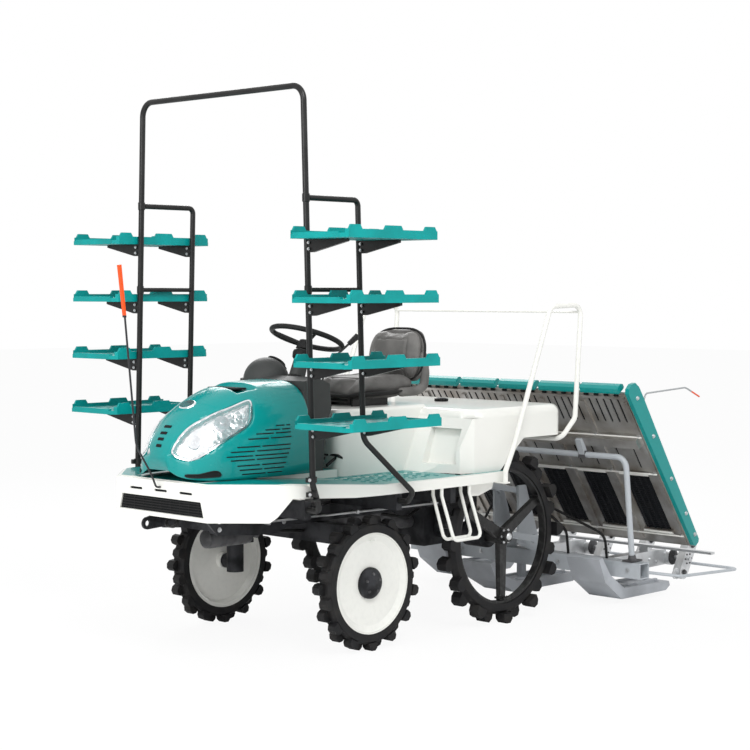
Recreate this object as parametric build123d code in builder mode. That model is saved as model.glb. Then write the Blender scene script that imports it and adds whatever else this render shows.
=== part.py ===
"""A six-row riding rice transplanter: four-wheel tractor, spare tray racks and planting section.

+Z is up, the front faces -Y and the driver's left is +X. The ground is Z = 0.
"""

import os
from math import atan2, cos, degrees, hypot, radians, sin

from build123d import *

os.makedirs("parts", exist_ok=True)

# Running gear
FRONT_AXLE_Y = -806.0
WHEELBASE = 1044.0
FRONT_TREAD = 1120.0
REAR_TREAD = 1120.0
FRONT_WHEEL_RADIUS = 340.0
REAR_WHEEL_RADIUS = 475.0
FRONT_LUG_HEIGHT = 34.0
REAR_LUG_HEIGHT = 48.0
FRONT_TYRE_DEPTH = 50.0
REAR_TYRE_DEPTH = 58.0
FRONT_TYRE_WIDTH = 84.0
REAR_TYRE_WIDTH = 56.0
FRONT_LUG_COUNT = 14
REAR_LUG_COUNT = 12
FRONT_LUG_REACH = 46.0
REAR_LUG_REACH = 56.0
HUB_CAP_RADIUS = 64.0
KINGPIN_X = 440.0
KINGPIN_RADIUS = 16.0
SHAFT_FIT = 0.05
JOINT_GAP = 0.3
RUN_GAP = 3.0

# Chassis
RAIL_X = 190.0
RAIL_WIDTH = 50.0
RAIL_HEIGHT = 80.0
RAIL_TOP = 700.0
RAIL_FRONT = -700.0
OUTRIGGER_HEIGHT = 95.0
OUTRIGGER_DEPTH = 40.0
AXLE_CASE_RADIUS = 52.0
TOW_EYE_Y = -790.0
TOW_EYE_Z = 645.0
TOW_EYE_RADIUS = 15.0

# Platform and bodywork
FLOOR_EDGE = 50.0
FLOOR_RISE = 40.0
COWL_WALL = 20.0
COWL_FRONT = -872.0
COWL_BOTTOM = 702.0
COWL_TOP = 880.0
PANEL = 8.0
HINGE_PIN = 5.0
HOOD_TOP = 1352.0
HOOD_HALF_WIDTH = 318.0
HOOD_NOSE = -888.0
HOOD_REAR = -150.0
HOOD_HINGE_Y = -158.0
HOOD_HINGE_Z = 1334.0
DECK_TOP = 1178.0
DECK_BOTTOM = 1010.0

# Racks and rails
HOOP_Y = -482.0
STAY_Y = -131.0
HOOP_TOP = 2787.0
HOOP_BEND = 75.0
STAY_TOP = 2251.0
RACK_BAR_Z = 1812.0
RACK_HALF_WIDTH = 648.0
RACK_WIDTH_HEIGHT = 1500.0
RACK_LEAN = 0.032
RACK_TUBE = 15.0
TRAY_LEVELS = (2052.0, 1750.0, 1448.0, 1158.0)
TRAY_LENGTH = 656.0
TRAY_WIDTH = 386.0
TRAY_DEPTH = 40.0
RAIL_TUBE = 14.0
RAIL_BAR_Z = 986.0

# Planting section
ROW_PITCH = 300.0
ROWS = 6
LINK_SETBACK = 146.0
LINK_LOW_Z = 470.0
LINK_HIGH_Z = 745.0
LINK_REACH_Y = 600.0
LINK_DROP = 122.0
CYLINDER_PIN_Z = 840.0
CYLINDER_SEAT = 250.0
BEAM_SETBACK = 135.0
BEAM_Z = 215.0
STAGE_TOP_AHEAD = 235.0
STAGE_TOP_Z = 1245.0
STAGE_FOOT_BEHIND = 410.0
STAGE_FOOT_Z = 330.0
ROTOR_BEHIND = 600.0
ROTOR_Z = 210.0
ROTOR_REACH = 166.0
SLIDE_HALF = 1075.0

RAIL_REAR = WHEELBASE + 186
RAIL_BAR_Y = WHEELBASE + 386
DECK_REAR = WHEELBASE + 476
LINK_PIVOT_Y = WHEELBASE + LINK_SETBACK
BEAM_Y = LINK_PIVOT_Y + LINK_REACH_Y + BEAM_SETBACK
STAGE_TOP_Y = BEAM_Y - STAGE_TOP_AHEAD
STAGE_FOOT_Y = BEAM_Y + STAGE_FOOT_BEHIND
ROTOR_Y = BEAM_Y + ROTOR_BEHIND
FENDER_FRONT = WHEELBASE - 444
FENDER_REAR = WHEELBASE - 92
RAIL_BOTTOM = RAIL_TOP - RAIL_HEIGHT
FLOOR_BOTTOM = RAIL_TOP + OUTRIGGER_HEIGHT
FLOOR_EDGE_TOP = FLOOR_BOTTOM + FLOOR_EDGE
FLOOR_TOP = FLOOR_EDGE_TOP + FLOOR_RISE
FRONT_X = FRONT_TREAD / 2
REAR_X = REAR_TREAD / 2
SIDES = (("left", 1), ("right", -1))


def back(distance):
    """Y of a place this far behind the front axle."""
    return FRONT_AXLE_Y + distance


def tube(points, radius, bend):
    """Adds a round bar along straight runs joined by arcs."""
    with BuildLine():
        if len(points) == 2:
            route = Line(*points)
        else:
            route = FilletPolyline(*points, radius=bend)
    with BuildSketch(Plane(origin=route @ 0, z_dir=route % 0)) as section:
        Circle(radius)
    sweep(section.sketch, path=route)


def block(x, y, z, mode=Mode.ADD):
    """Adds a plain block between the given pairs of limits."""
    with BuildSketch(Plane.XY.offset(z[0])) as base:
        with Locations(((x[0] + x[1]) / 2, (y[0] + y[1]) / 2)):
            Rectangle(x[1] - x[0], y[1] - y[0])
    extrude(base.sketch, amount=z[1] - z[0], mode=mode)


def cross_bar(centre, radius, x, mode=Mode.ADD):
    """Adds a round bar along X, centred on a (Y, Z) place, between two X limits."""
    with BuildSketch(Plane(origin=(x[0], centre[0], centre[1]), z_dir=(1, 0, 0))) as end:
        Circle(radius)
    extrude(end.sketch, amount=x[1] - x[0], mode=mode)


def side_plate(outline, x, mode=Mode.ADD):
    """Adds a plate with a (Y, Z) outline between two X limits."""
    with BuildSketch(Plane(origin=(x[0], 0, 0), x_dir=(0, 1, 0), z_dir=(1, 0, 0))) as face:
        with BuildLine():
            Polyline(*outline, close=True)
        make_face()
    extrude(face.sketch, amount=x[1] - x[0], mode=mode)


def finish(piece, name):
    """Names a finished sub-part and writes its file."""
    piece.part.label = name
    export_step(piece.part, f"parts/{name}.step")


def rack_x(height):
    """Half-width between the leaning rack posts at a height."""
    return RACK_HALF_WIDTH - RACK_LEAN * (height - RACK_WIDTH_HEIGHT)


# Wheels
def wheel_ring(x, y, z, inner, outer, half_width, edge):
    """Adds a rubber ring with chamfered shoulders around an X axis."""
    with BuildSketch(Plane(origin=(x, y, z), x_dir=(1, 0, 0), z_dir=(0, -1, 0))) as section:
        with BuildLine():
            Polyline(
                (-half_width, inner),
                (half_width, inner),
                (half_width, outer - edge),
                (half_width - edge, outer),
                (edge - half_width, outer),
                (-half_width, outer - edge),
                close=True,
            )
        make_face()
    revolve(section.sketch, axis=Axis((x, y, z), (1, 0, 0)))


def lug_row(x, y, z, root, tip, count, near, far, turn):
    """Adds one row of round-shouldered lugs around a wheel's tread."""
    base = 0.52 * (tip - root) + 12
    middle = root + (tip - root) * 0.55
    for index in range(count):
        angle = radians(360.0 / count * index + turn)
        foot = Plane(origin=(x + near, y, z), x_dir=(0, cos(angle), sin(angle)), z_dir=(1, 0, 0))
        with BuildSketch(foot) as lug:
            with BuildLine():
                Polyline(
                    (-base, root - 6),
                    (base, root - 6),
                    (base * 0.86, middle),
                    (base * 0.34, tip),
                    (-base * 0.5, tip),
                    (-base * 0.96, middle),
                    close=True,
                )
            make_face()
        extrude(lug.sketch, amount=far - near)


front_root = FRONT_WHEEL_RADIUS - FRONT_LUG_HEIGHT
rear_root = REAR_WHEEL_RADIUS - REAR_LUG_HEIGHT
front_rim = front_root - FRONT_TYRE_DEPTH
rear_rim = rear_root - REAR_TYRE_DEPTH

for name, side in SIDES:
    x = side * FRONT_X
    y = FRONT_AXLE_Y
    z = FRONT_WHEEL_RADIUS
    with BuildPart() as front_tyre:
        wheel_ring(x, y, z, front_rim, front_root, FRONT_TYRE_WIDTH / 2, 12)
        half_pitch = 180.0 / FRONT_LUG_COUNT
        lug_row(x, y, z, front_root, FRONT_WHEEL_RADIUS, FRONT_LUG_COUNT, -6, FRONT_LUG_REACH, 0)
        lug_row(x, y, z, front_root, FRONT_WHEEL_RADIUS, FRONT_LUG_COUNT, -FRONT_LUG_REACH, 6, half_pitch)
    finish(front_tyre, f"front_tyre_{name}")

    with BuildPart() as front_disc:
        with BuildSketch(Plane(origin=(x, y, z), x_dir=(side, 0, 0), z_dir=(0, -side, 0))):
            with BuildLine():
                Polyline(
                    (-46, 0),
                    (-46, 46),
                    (-16, 46),
                    (-10, 90),
                    (-10, front_rim - 36),
                    (-36, front_rim - 22),
                    (-36, front_rim - JOINT_GAP),
                    (34, front_rim - JOINT_GAP),
                    (38, front_rim - 10),
                    (20, front_rim - 40),
                    (14, HUB_CAP_RADIUS + 16),
                    (6, HUB_CAP_RADIUS + 12),
                    (6, HUB_CAP_RADIUS),
                    (30, HUB_CAP_RADIUS - 8),
                    (36, HUB_CAP_RADIUS - 22),
                    (36, HUB_CAP_RADIUS - 36),
                    (42, HUB_CAP_RADIUS - 40),
                    (42, 0),
                    close=True,
                )
            make_face()
        revolve(axis=Axis((x, y, z), (1, 0, 0)))
    finish(front_disc, f"front_disc_{name}")

    x = side * REAR_X
    y = back(WHEELBASE)
    z = REAR_WHEEL_RADIUS
    with BuildPart() as rear_tyre:
        wheel_ring(x, y, z, rear_rim, rear_root, REAR_TYRE_WIDTH / 2, 20)
        half_pitch = 180.0 / REAR_LUG_COUNT
        lug_row(x, y, z, rear_root, REAR_WHEEL_RADIUS, REAR_LUG_COUNT, -8, REAR_LUG_REACH, 0)
        lug_row(x, y, z, rear_root, REAR_WHEEL_RADIUS, REAR_LUG_COUNT, -REAR_LUG_REACH, 8, half_pitch)
    finish(rear_tyre, f"rear_tyre_{name}")

    with BuildPart() as rear_spokes:
        for limits, radius in (((-86, 36), 44), ((36, 58), 30)):
            ends = sorted((x + side * limits[0], x + side * limits[1]))
            cross_bar((y, z), radius, ends)
        for turn in (30, 150, 270):
            direction = Vector(0, cos(radians(turn)), sin(radians(turn)))
            root_plane = Plane(origin=Vector(x, y, z) + direction * 20, x_dir=(1, 0, 0), z_dir=direction)
            tip_plane = Plane(
                origin=Vector(x, y, z) + direction * (rear_rim - 6), x_dir=(1, 0, 0), z_dir=direction
            )
            with BuildSketch(root_plane):
                Rectangle(34, 60)
            with BuildSketch(tip_plane):
                Rectangle(30, 40)
            loft()
        with BuildSketch(Plane(origin=(x, y, z), x_dir=(1, 0, 0), z_dir=(0, -1, 0))):
            with Locations((0, rear_rim - 7 - JOINT_GAP)):
                Rectangle(44, 14)
        revolve(axis=Axis((x, y, z), (1, 0, 0)))
    finish(rear_spokes, f"rear_spokes_{name}")

# Steering knuckles
knuckle_top = 496.0
for name, side in SIDES:
    x = side * KINGPIN_X
    with BuildPart() as knuckle:
        with BuildSketch(Plane.XY.offset(FRONT_WHEEL_RADIUS - 52)):
            with Locations((x, FRONT_AXLE_Y)):
                Circle(46)
        extrude(amount=knuckle_top - FRONT_WHEEL_RADIUS + 52)
        with BuildSketch(Plane.XY.offset(knuckle_top - 4)):
            with Locations((x, FRONT_AXLE_Y)):
                Circle(KINGPIN_RADIUS)
        extrude(amount=116)
        hub_face = side * (FRONT_X - 46 - JOINT_GAP)
        cross_bar((FRONT_AXLE_Y, FRONT_WHEEL_RADIUS), 40, sorted((x, hub_face)))
        with BuildSketch(Plane.XY.offset(knuckle_top - 60)):
            with Locations((x, FRONT_AXLE_Y + 70)):
                Rectangle(34, 100)
        extrude(amount=22)
    finish(knuckle, f"knuckle_{name}")

# Chassis frame
mast_x = RAIL_X + RAIL_WIDTH / 2
with BuildPart() as chassis_frame:
    for name, side in SIDES:
        rail = sorted((side * (RAIL_X - RAIL_WIDTH / 2), side * (RAIL_X + RAIL_WIDTH / 2)))
        block(rail, (back(RAIL_FRONT), back(RAIL_REAR)), (RAIL_BOTTOM, RAIL_TOP))
        plate = sorted((side * (RAIL_X + RAIL_WIDTH / 2 - 14), side * (RAIL_X + RAIL_WIDTH / 2)))
        side_plate(
            (
                (back(-760), RAIL_BOTTOM + 66),
                (back(-690), RAIL_BOTTOM - 6),
                (back(-430), RAIL_BOTTOM - 30),
                (back(-300), RAIL_BOTTOM - 30),
                (back(-200), RAIL_BOTTOM + 4),
                (back(-200), RAIL_TOP),
                (back(-760), RAIL_TOP),
            ),
            plate,
        )
        mast = sorted((side * mast_x, side * (mast_x + 16)))
        side_plate(
            (
                (back(LINK_PIVOT_Y - 60), RAIL_BOTTOM + 40),
                (back(LINK_PIVOT_Y - 40), LINK_LOW_Z - 34),
                (back(LINK_PIVOT_Y + 30), LINK_LOW_Z - 34),
                (back(LINK_PIVOT_Y + 40), CYLINDER_PIN_Z),
                (back(RAIL_BAR_Y + RAIL_TUBE), RAIL_BAR_Z - RAIL_TUBE - JOINT_GAP),
                (back(RAIL_BAR_Y - RAIL_TUBE), RAIL_BAR_Z - RAIL_TUBE - JOINT_GAP),
                (back(LINK_PIVOT_Y), CYLINDER_PIN_Z + 40),
                (back(LINK_PIVOT_Y - 34), CYLINDER_PIN_Z + 20),
                (back(LINK_PIVOT_Y - 60), RAIL_TOP),
            ),
            mast,
        )
    for place in (-680, -250, 600, WHEELBASE - 144):
        block(
            (-RAIL_X, RAIL_X),
            (back(place) - OUTRIGGER_DEPTH / 2, back(place) + OUTRIGGER_DEPTH / 2),
            (RAIL_BOTTOM + 10, RAIL_TOP - 10),
        )
    for place, half in ((-440, 590), (150, 640), (WHEELBASE - 484, 640)):
        for name, side in SIDES:
            block(
                sorted((side * (RAIL_X - RAIL_WIDTH / 2), side * half)),
                (back(place) - OUTRIGGER_DEPTH / 2, back(place) + OUTRIGGER_DEPTH / 2),
                (RAIL_TOP, FLOOR_BOTTOM),
            )
    eye_x = (-RAIL_X - RAIL_WIDTH / 2, 14 - RAIL_X - RAIL_WIDTH / 2)
    side_plate(
        (
            (back(-690), RAIL_BOTTOM),
            (back(TOW_EYE_Y), TOW_EYE_Z - TOW_EYE_RADIUS - 16),
            (back(TOW_EYE_Y), TOW_EYE_Z + TOW_EYE_RADIUS + 16),
            (back(-690), RAIL_TOP),
        ),
        eye_x,
    )
    cross_bar((back(TOW_EYE_Y), TOW_EYE_Z), TOW_EYE_RADIUS + 16, eye_x)
    cross_bar((back(TOW_EYE_Y), TOW_EYE_Z), TOW_EYE_RADIUS, (eye_x[0] - 1, eye_x[1] + 1), Mode.SUBTRACT)
    for height in (LINK_LOW_Z, LINK_HIGH_Z, CYLINDER_PIN_Z):
        cross_bar((back(LINK_PIVOT_Y), height), 13, (-mast_x - 16, mast_x + 16))
finish(chassis_frame, "chassis_frame")

# Front axle with kingpin housings
with BuildPart() as front_axle:
    housing_bottom = knuckle_top + 2
    housing_top = knuckle_top + 118
    block(
        (-KINGPIN_X, KINGPIN_X),
        (FRONT_AXLE_Y - 42, FRONT_AXLE_Y + 42),
        (housing_bottom + 20, RAIL_BOTTOM),
    )
    for name, side in SIDES:
        with BuildSketch(Plane.XY.offset(housing_bottom)):
            with Locations((side * KINGPIN_X, FRONT_AXLE_Y)):
                Circle(50)
        extrude(amount=housing_top - housing_bottom)
    for name, side in SIDES:
        with BuildSketch(Plane.XY.offset(housing_bottom)):
            with Locations((side * KINGPIN_X, FRONT_AXLE_Y)):
                Circle(KINGPIN_RADIUS + SHAFT_FIT)
        extrude(amount=housing_top - housing_bottom + 10, mode=Mode.SUBTRACT)
finish(front_axle, "front_axle")

# Rear axle with final drive cases
with BuildPart() as rear_axle:
    axle = (back(WHEELBASE), REAR_WHEEL_RADIUS)
    case_end = REAR_X - 86 - JOINT_GAP
    cross_bar(axle, AXLE_CASE_RADIUS, (-case_end, case_end))
    for name, side in SIDES:
        ends = sorted((side * 330, side * (case_end)))
        cross_bar(axle, 74, ends)
        side_plate(
            (
                (axle[0] - 60, axle[1]),
                (axle[0] + 60, axle[1]),
                (axle[0] + 46, RAIL_BOTTOM),
                (axle[0] - 46, RAIL_BOTTOM),
            ),
            sorted((side * 120, side * 210)),
        )
    block((-110, 110), (axle[0] - 130, axle[0] + 80), (axle[1] - 90, RAIL_BOTTOM + 8))
finish(rear_axle, "rear_axle")

# Gearbox and engine
with BuildPart() as gearbox:
    block((-120, 120), (back(60), back(560)), (RAIL_BOTTOM - 90, RAIL_TOP))
    cross_bar((back(300), RAIL_BOTTOM), 110, (-125, 125))
    drive_end = WHEELBASE - 130
    drive_run = drive_end - 540
    tube(
        [
            (0, back(540), RAIL_BOTTOM - 30),
            (0, back(540 + drive_run * 0.43), RAIL_BOTTOM - 50),
            (0, back(540 + drive_run * 0.8), REAR_WHEEL_RADIUS + 40),
            (0, back(drive_end), REAR_WHEEL_RADIUS + 40),
        ],
        34,
        (80, 80),
    )
finish(gearbox, "gearbox")

with BuildPart() as engine:
    block((-150, 150), (back(-560), back(-190)), (RAIL_TOP + 4, 1000))
    block((-130, 130), (back(-530), back(-230)), (1000, 1160))
    cross_bar((back(-380), 1090), 62, (-215, 215))
    block((-40, 40), (back(-470), back(-330)), (RAIL_TOP - 60, RAIL_TOP + 4))
    for side in (1, -1):
        ends = sorted((side * 140, side * (RAIL_X + 5)))
        block(ends, (back(-400), back(-340)), (RAIL_TOP, RAIL_TOP + 40))
finish(engine, "engine")

# Platform floor, level beside the seat and higher under the hood, inside the cowl's wall
COWL_PLAN = ((0, COWL_FRONT), (346, COWL_FRONT), (592, -640), (640, -470))
COWL_REAR = -470.0
wall_gap = COWL_WALL + JOINT_GAP
FLOOR_PLAN = (
    (0, COWL_FRONT + wall_gap),
    (346 - wall_gap * 0.6, COWL_FRONT + wall_gap),
    (592 - wall_gap, -640 + wall_gap * 0.4),
    (640 - wall_gap, COWL_REAR),
    (640, COWL_REAR + JOINT_GAP),
    (700, -60),
    (712, 300),
    (712, WHEELBASE - 344),
    (686, WHEELBASE - 92),
    (648, WHEELBASE - 92),
    (648, WHEELBASE - 444),
    (0, WHEELBASE - 444),
)


def mirrored(plan):
    """A plan given for one half, with its mirror image."""
    half = [(x, back(y)) for x, y in plan]
    return half + [(-x, y) for x, y in reversed(half) if x]


def plan_face(plan, height, corner=0.0):
    """A mirrored plan at a height, its outer corners rounded."""
    with BuildSketch(Plane.XY.offset(height)) as face:
        with BuildLine():
            Polyline(*mirrored(plan), close=True)
        make_face()
        if corner:
            outer = [vertex for vertex in face.vertices() if abs(vertex.X) > 200]
            fillet(outer, corner)
    return face.sketch


with BuildPart() as floor:
    side_plate(
        (
            (back(-900), FLOOR_TOP),
            (back(-560), FLOOR_TOP),
            (back(0), FLOOR_EDGE_TOP),
            (back(WHEELBASE), FLOOR_EDGE_TOP),
            (back(WHEELBASE), FLOOR_BOTTOM),
            (back(-200), FLOOR_BOTTOM),
            (back(-560), FLOOR_BOTTOM + FLOOR_RISE / 2),
            (back(-900), FLOOR_BOTTOM + FLOOR_RISE / 2),
        ),
        (-760, 760),
    )
    extrude(plan_face(FLOOR_PLAN, FLOOR_BOTTOM - 10), amount=200, mode=Mode.INTERSECT)
    block((-250, 250), (back(-460), back(96)), (FLOOR_EDGE_TOP - 10, FLOOR_TOP))
    block(
        (-560, 560),
        (back(-440) - OUTRIGGER_DEPTH / 2, back(-440) + OUTRIGGER_DEPTH / 2),
        (FLOOR_BOTTOM, FLOOR_BOTTOM + FLOOR_EDGE / 2),
    )
    block(
        (-RAIL_X + 5, RAIL_X - 5),
        (back(-600), back(-150)),
        (FLOOR_BOTTOM - 1, FLOOR_TOP + 1),
        Mode.SUBTRACT,
    )
    for side in (1, -1):
        skirt = (
            (back(WHEELBASE - 384), FLOOR_BOTTOM + 4),
            (back(WHEELBASE - 372), FLOOR_BOTTOM - 66),
            (back(WHEELBASE - 300), FLOOR_BOTTOM - 70),
            (back(WHEELBASE - 190), FLOOR_BOTTOM - 40),
            (back(WHEELBASE - 170), FLOOR_BOTTOM + 4),
        )
        side_plate(skirt, sorted((side * 652, side * 656)))
finish(floor, "floor")

# Front cowl round the floor's front, its ends cut up to the rim
with BuildPart() as front_cowl:
    with BuildSketch(Plane.XY.offset(COWL_BOTTOM)):
        with BuildLine():
            points = [(x, back(y)) for x, y in COWL_PLAN]
            inner = [
                (640 - COWL_WALL, back(COWL_REAR)),
                (592 - COWL_WALL, back(-640 + COWL_WALL * 0.4)),
                (346 - COWL_WALL * 0.6, back(COWL_FRONT + COWL_WALL)),
            ]
            Polyline(
                *points,
                *inner,
                *[(-x, y) for x, y in reversed(inner)],
                *[(-x, y) for x, y in reversed(points[1:])],
                close=True,
            )
        make_face()
    extrude(amount=COWL_TOP - COWL_BOTTOM)
    side_plate(
        (
            (back(-668), COWL_BOTTOM - 1),
            (back(-560), FLOOR_BOTTOM + FLOOR_RISE / 2),
            (back(COWL_REAR + 1), FLOOR_BOTTOM + FLOOR_RISE / 2 - 10),
            (back(COWL_REAR + 1), COWL_BOTTOM - 1),
        ),
        (-700, 700),
        Mode.SUBTRACT,
    )
    side_plate(
        (
            (back(-800), COWL_TOP + 1),
            (back(-560), COWL_TOP),
            (back(COWL_REAR - 90), COWL_TOP - 2),
            (back(COWL_REAR + 1), COWL_TOP - 12),
            (back(COWL_REAR + 1), COWL_TOP + 1),
        ),
        (-700, 700),
        Mode.SUBTRACT,
    )
    with BuildSketch(Plane(origin=(0, back(COWL_FRONT), 0), x_dir=(1, 0, 0), z_dir=(0, -1, 0))):
        with BuildLine():
            Polyline((-322, 722), (-300, 798), (300, 798), (322, 722), close=True)
        make_face()
        for x in (-190, 0, 190):
            with Locations((x, 832)):
                SlotOverall(96, 12)
    extrude(amount=-8, mode=Mode.SUBTRACT)
finish(front_cowl, "front_cowl")

# Seat base with the rear deck over the wheels, open underneath
SEAT_BOX_PLAN = ((0, 100), (262, 100), (262, FENDER_FRONT + 200), (0, FENDER_FRONT + 200))
STEP_LOW = 892.0
STEP_HIGH = 1078.0
STEP_DEPTH = 46.0
FENDER_LEAN = 110.0
DECK_EDGE = 46.0


def soft_block(plan, bottom, top, corner, edge):
    """A block over a mirrored plan with its upright corners and its upper edges rounded."""
    with BuildPart() as form:
        extrude(plan_face(plan, bottom, corner), amount=top - bottom)
        fillet(form.faces().sort_by(Axis.Z)[-1].edges(), edge)
    return form.part


def inset_plan(plan, wall):
    """The plan moved in by a wall, for the hollow behind a panel."""
    front = min(y for x, y in plan)
    rear = max(y for x, y in plan)
    width = max(x for x, y in plan)
    across = (width - wall) / width
    along = (rear - front - 2 * wall) / (rear - front)
    return tuple((x * across, front + wall + (y - front) * along) for x, y in plan)


UPPER_PLAN = (
    (0, FENDER_FRONT + FENDER_LEAN),
    (560, FENDER_FRONT + FENDER_LEAN),
    (648, FENDER_FRONT + FENDER_LEAN + 60),
    (648, DECK_REAR - 90),
    (580, DECK_REAR),
    (0, DECK_REAR),
)


def fender_body(inset, opening):
    """The fenders below the deck, leaning in front and swept up behind, or the hollow inside them."""
    rear = FENDER_REAR + 190 + opening
    plan = (
        (0, FENDER_FRONT - 20),
        (330 - inset, FENDER_FRONT - 20),
        (470 - inset, FENDER_FRONT),
        (610 - inset, FENDER_FRONT + 46),
        (648 - inset, FENDER_FRONT + 120),
        (648 - inset, rear),
        (0, rear),
    )
    with BuildPart() as form:
        side_plate(
            (
                (back(FENDER_FRONT - 10 + inset), FLOOR_EDGE_TOP - inset),
                (back(FENDER_FRONT + FENDER_LEAN + inset), DECK_TOP - DECK_EDGE),
                (back(rear), DECK_TOP - DECK_EDGE),
                (back(rear), DECK_BOTTOM + 10),
                (back(rear - 210), FLOOR_EDGE_TOP - inset),
            ),
            (-700, 700),
        )
        extrude(plan_face(plan, FLOOR_EDGE_TOP - 20), amount=600, mode=Mode.INTERSECT)
    return form.part


def step_pocket(wall):
    """A slanted block behind the fender's front: the step's liner, or its hollow."""
    reach = STEP_DEPTH + wall
    lean = FENDER_LEAN / (DECK_TOP - FLOOR_EDGE_TOP)
    low = back(FENDER_FRONT + lean * (STEP_LOW - FLOOR_EDGE_TOP))
    high = back(FENDER_FRONT + lean * (STEP_HIGH - FLOOR_EDGE_TOP))
    with BuildPart() as form:
        for side in (1, -1):
            side_plate(
                (
                    (low - 60, STEP_LOW - wall),
                    (low + reach, STEP_LOW - wall),
                    (high + reach, STEP_HIGH + wall),
                    (high - 60, STEP_HIGH + wall),
                ),
                sorted((side * (372 - wall), side * (588 + wall))),
            )
    return form.part


with BuildPart() as seat_base:
    add(soft_block(UPPER_PLAN, DECK_BOTTOM, DECK_TOP, 60, DECK_EDGE))
    add(fender_body(0, 0))
    inner_plan = inset_plan(UPPER_PLAN, PANEL)
    add(soft_block(inner_plan, DECK_BOTTOM - 1, DECK_TOP - PANEL, 52, DECK_EDGE - PANEL), mode=Mode.SUBTRACT)
    add(fender_body(PANEL, 100), mode=Mode.SUBTRACT)
    add(step_pocket(PANEL).intersect(fender_body(0, 0)))
    add(step_pocket(0), mode=Mode.SUBTRACT)
    box_top = DECK_TOP + 14
    inner_box = inset_plan(SEAT_BOX_PLAN, PANEL)
    add(soft_block(SEAT_BOX_PLAN, FLOOR_EDGE_TOP, box_top, 60, 20))
    add(soft_block(inner_box, FLOOR_EDGE_TOP - 1, box_top - PANEL, 52, 20 - PANEL), mode=Mode.SUBTRACT)
finish(seat_base, "seat_base")

# Steering axis
STEERING_TILT = 20.0
STEERING_RADIUS = 190.0
COLUMN_LENGTH = 270.0
LEVER_BASE_Z = 1352.0
steering_axis = Vector(0, sin(radians(STEERING_TILT)), cos(radians(STEERING_TILT)))
steering_centre = Vector(0, back(120), 1560)


def steering_plane(height):
    """Plane across the steering axis at a height along it from the rim's centre."""
    return Plane(origin=steering_centre + steering_axis * height, x_dir=(1, 0, 0), z_dir=steering_axis)


# Dashboard with its domed instrument cover and the hood's hinge bar
with BuildPart() as dashboard:
    side_plate(
        (
            (back(-120), FLOOR_TOP),
            (back(0), FLOOR_TOP),
            (back(20), 1100),
            (back(60), 1200),
            (back(48), 1330),
            (back(-40), 1366),
            (back(HOOD_HINGE_Y + 26), 1348),
            (back(HOOD_HINGE_Y + 26), 1300),
            (back(HOOD_REAR + RUN_GAP), 1270),
            (back(HOOD_REAR + RUN_GAP), 1100),
        ),
        (-245, 245),
    )
    for side in (1, -1):
        side_plate(
            (
                (back(HOOD_REAR + 30), HOOD_HINGE_Z - 20),
                (back(HOOD_HINGE_Y), HOOD_HINGE_Z - 20),
                (back(HOOD_HINGE_Y - 6), HOOD_HINGE_Z - 6),
                (back(HOOD_HINGE_Y - 5), HOOD_HINGE_Z),
                (back(HOOD_HINGE_Y + 4), HOOD_HINGE_Z),
                (back(HOOD_HINGE_Y + 8), HOOD_HINGE_Z - 6),
                (back(HOOD_REAR + 30), HOOD_HINGE_Z - 6),
            ),
            sorted((side * 60, side * 68)),
        )
    cross_bar((back(HOOD_HINGE_Y), HOOD_HINGE_Z), HINGE_PIN, (-96, 96))
    with Locations((-165, back(-20), 1335)):
        Sphere(122)
    with BuildSketch(steering_plane(-COLUMN_LENGTH - JOINT_GAP)):
        Circle(46 + JOINT_GAP)
    extrude(amount=200, mode=Mode.SUBTRACT)
    block((158, 182), (back(8), back(32)), (1300, LEVER_BASE_Z - 5))
finish(dashboard, "dashboard")

# Steering column and wheel
with BuildPart() as steering_column:
    with BuildSketch(steering_plane(-COLUMN_LENGTH)):
        Circle(46)
    with BuildSketch(steering_plane(-70)):
        Circle(36)
    loft()
    with BuildSketch(steering_plane(-110)):
        Circle(11 + SHAFT_FIT)
    extrude(amount=41, mode=Mode.SUBTRACT)
finish(steering_column, "steering_column")

with BuildPart() as steering_wheel:
    rim_point = steering_centre + Vector(STEERING_RADIUS, 0, 0)
    with BuildSketch(Plane(origin=rim_point, x_dir=(1, 0, 0), z_dir=steering_plane(0).y_dir)):
        Circle(14)
    revolve(axis=Axis(steering_centre, steering_axis))
    with BuildSketch(steering_plane(-66)):
        Circle(44)
    with BuildSketch(steering_plane(-20)):
        Circle(34)
    loft()
    with BuildSketch(steering_plane(-105)):
        Circle(11)
    extrude(amount=50)
    for turn in (-30, 90, 210):
        across = steering_plane(0).x_dir * cos(radians(turn))
        direction = across + steering_plane(0).y_dir * sin(radians(turn))
        root = steering_centre - steering_axis * 40
        tip = steering_centre + direction * STEERING_RADIUS
        run = tip - root
        with BuildSketch(Plane(origin=root, z_dir=run)):
            Circle(9)
        extrude(amount=run.length)
finish(steering_wheel, "steering_wheel")

# Control lever beside the column
with BuildPart() as control_lever:
    tube([(170, back(20), LEVER_BASE_Z), (185, back(90), 1430), (232, back(215), 1540)], 6, 30)
    with BuildSketch(Plane(origin=(228, back(205), 1531), z_dir=(47, 125, 110))):
        Circle(13)
    with BuildSketch(Plane(origin=(246, back(252), 1572), z_dir=(47, 125, 110))):
        Circle(17)
    loft()
finish(control_lever, "control_lever")

# Seat bracket and seat
SEAT_PIVOT_Y = 352.0
SEAT_PIVOT_Z = 1216.0
with BuildPart() as seat_bracket:
    block((-130, 130), (back(400), back(600)), (DECK_TOP + 14, 1232))
    for side in (1, -1):
        block(sorted((side * 112, side * 124)), (back(SEAT_PIVOT_Y - 14), back(420)), (DECK_TOP + 14, 1230))
    cross_bar((back(SEAT_PIVOT_Y), SEAT_PIVOT_Z), 8, (-124, 124))
finish(seat_bracket, "seat_bracket")

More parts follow.
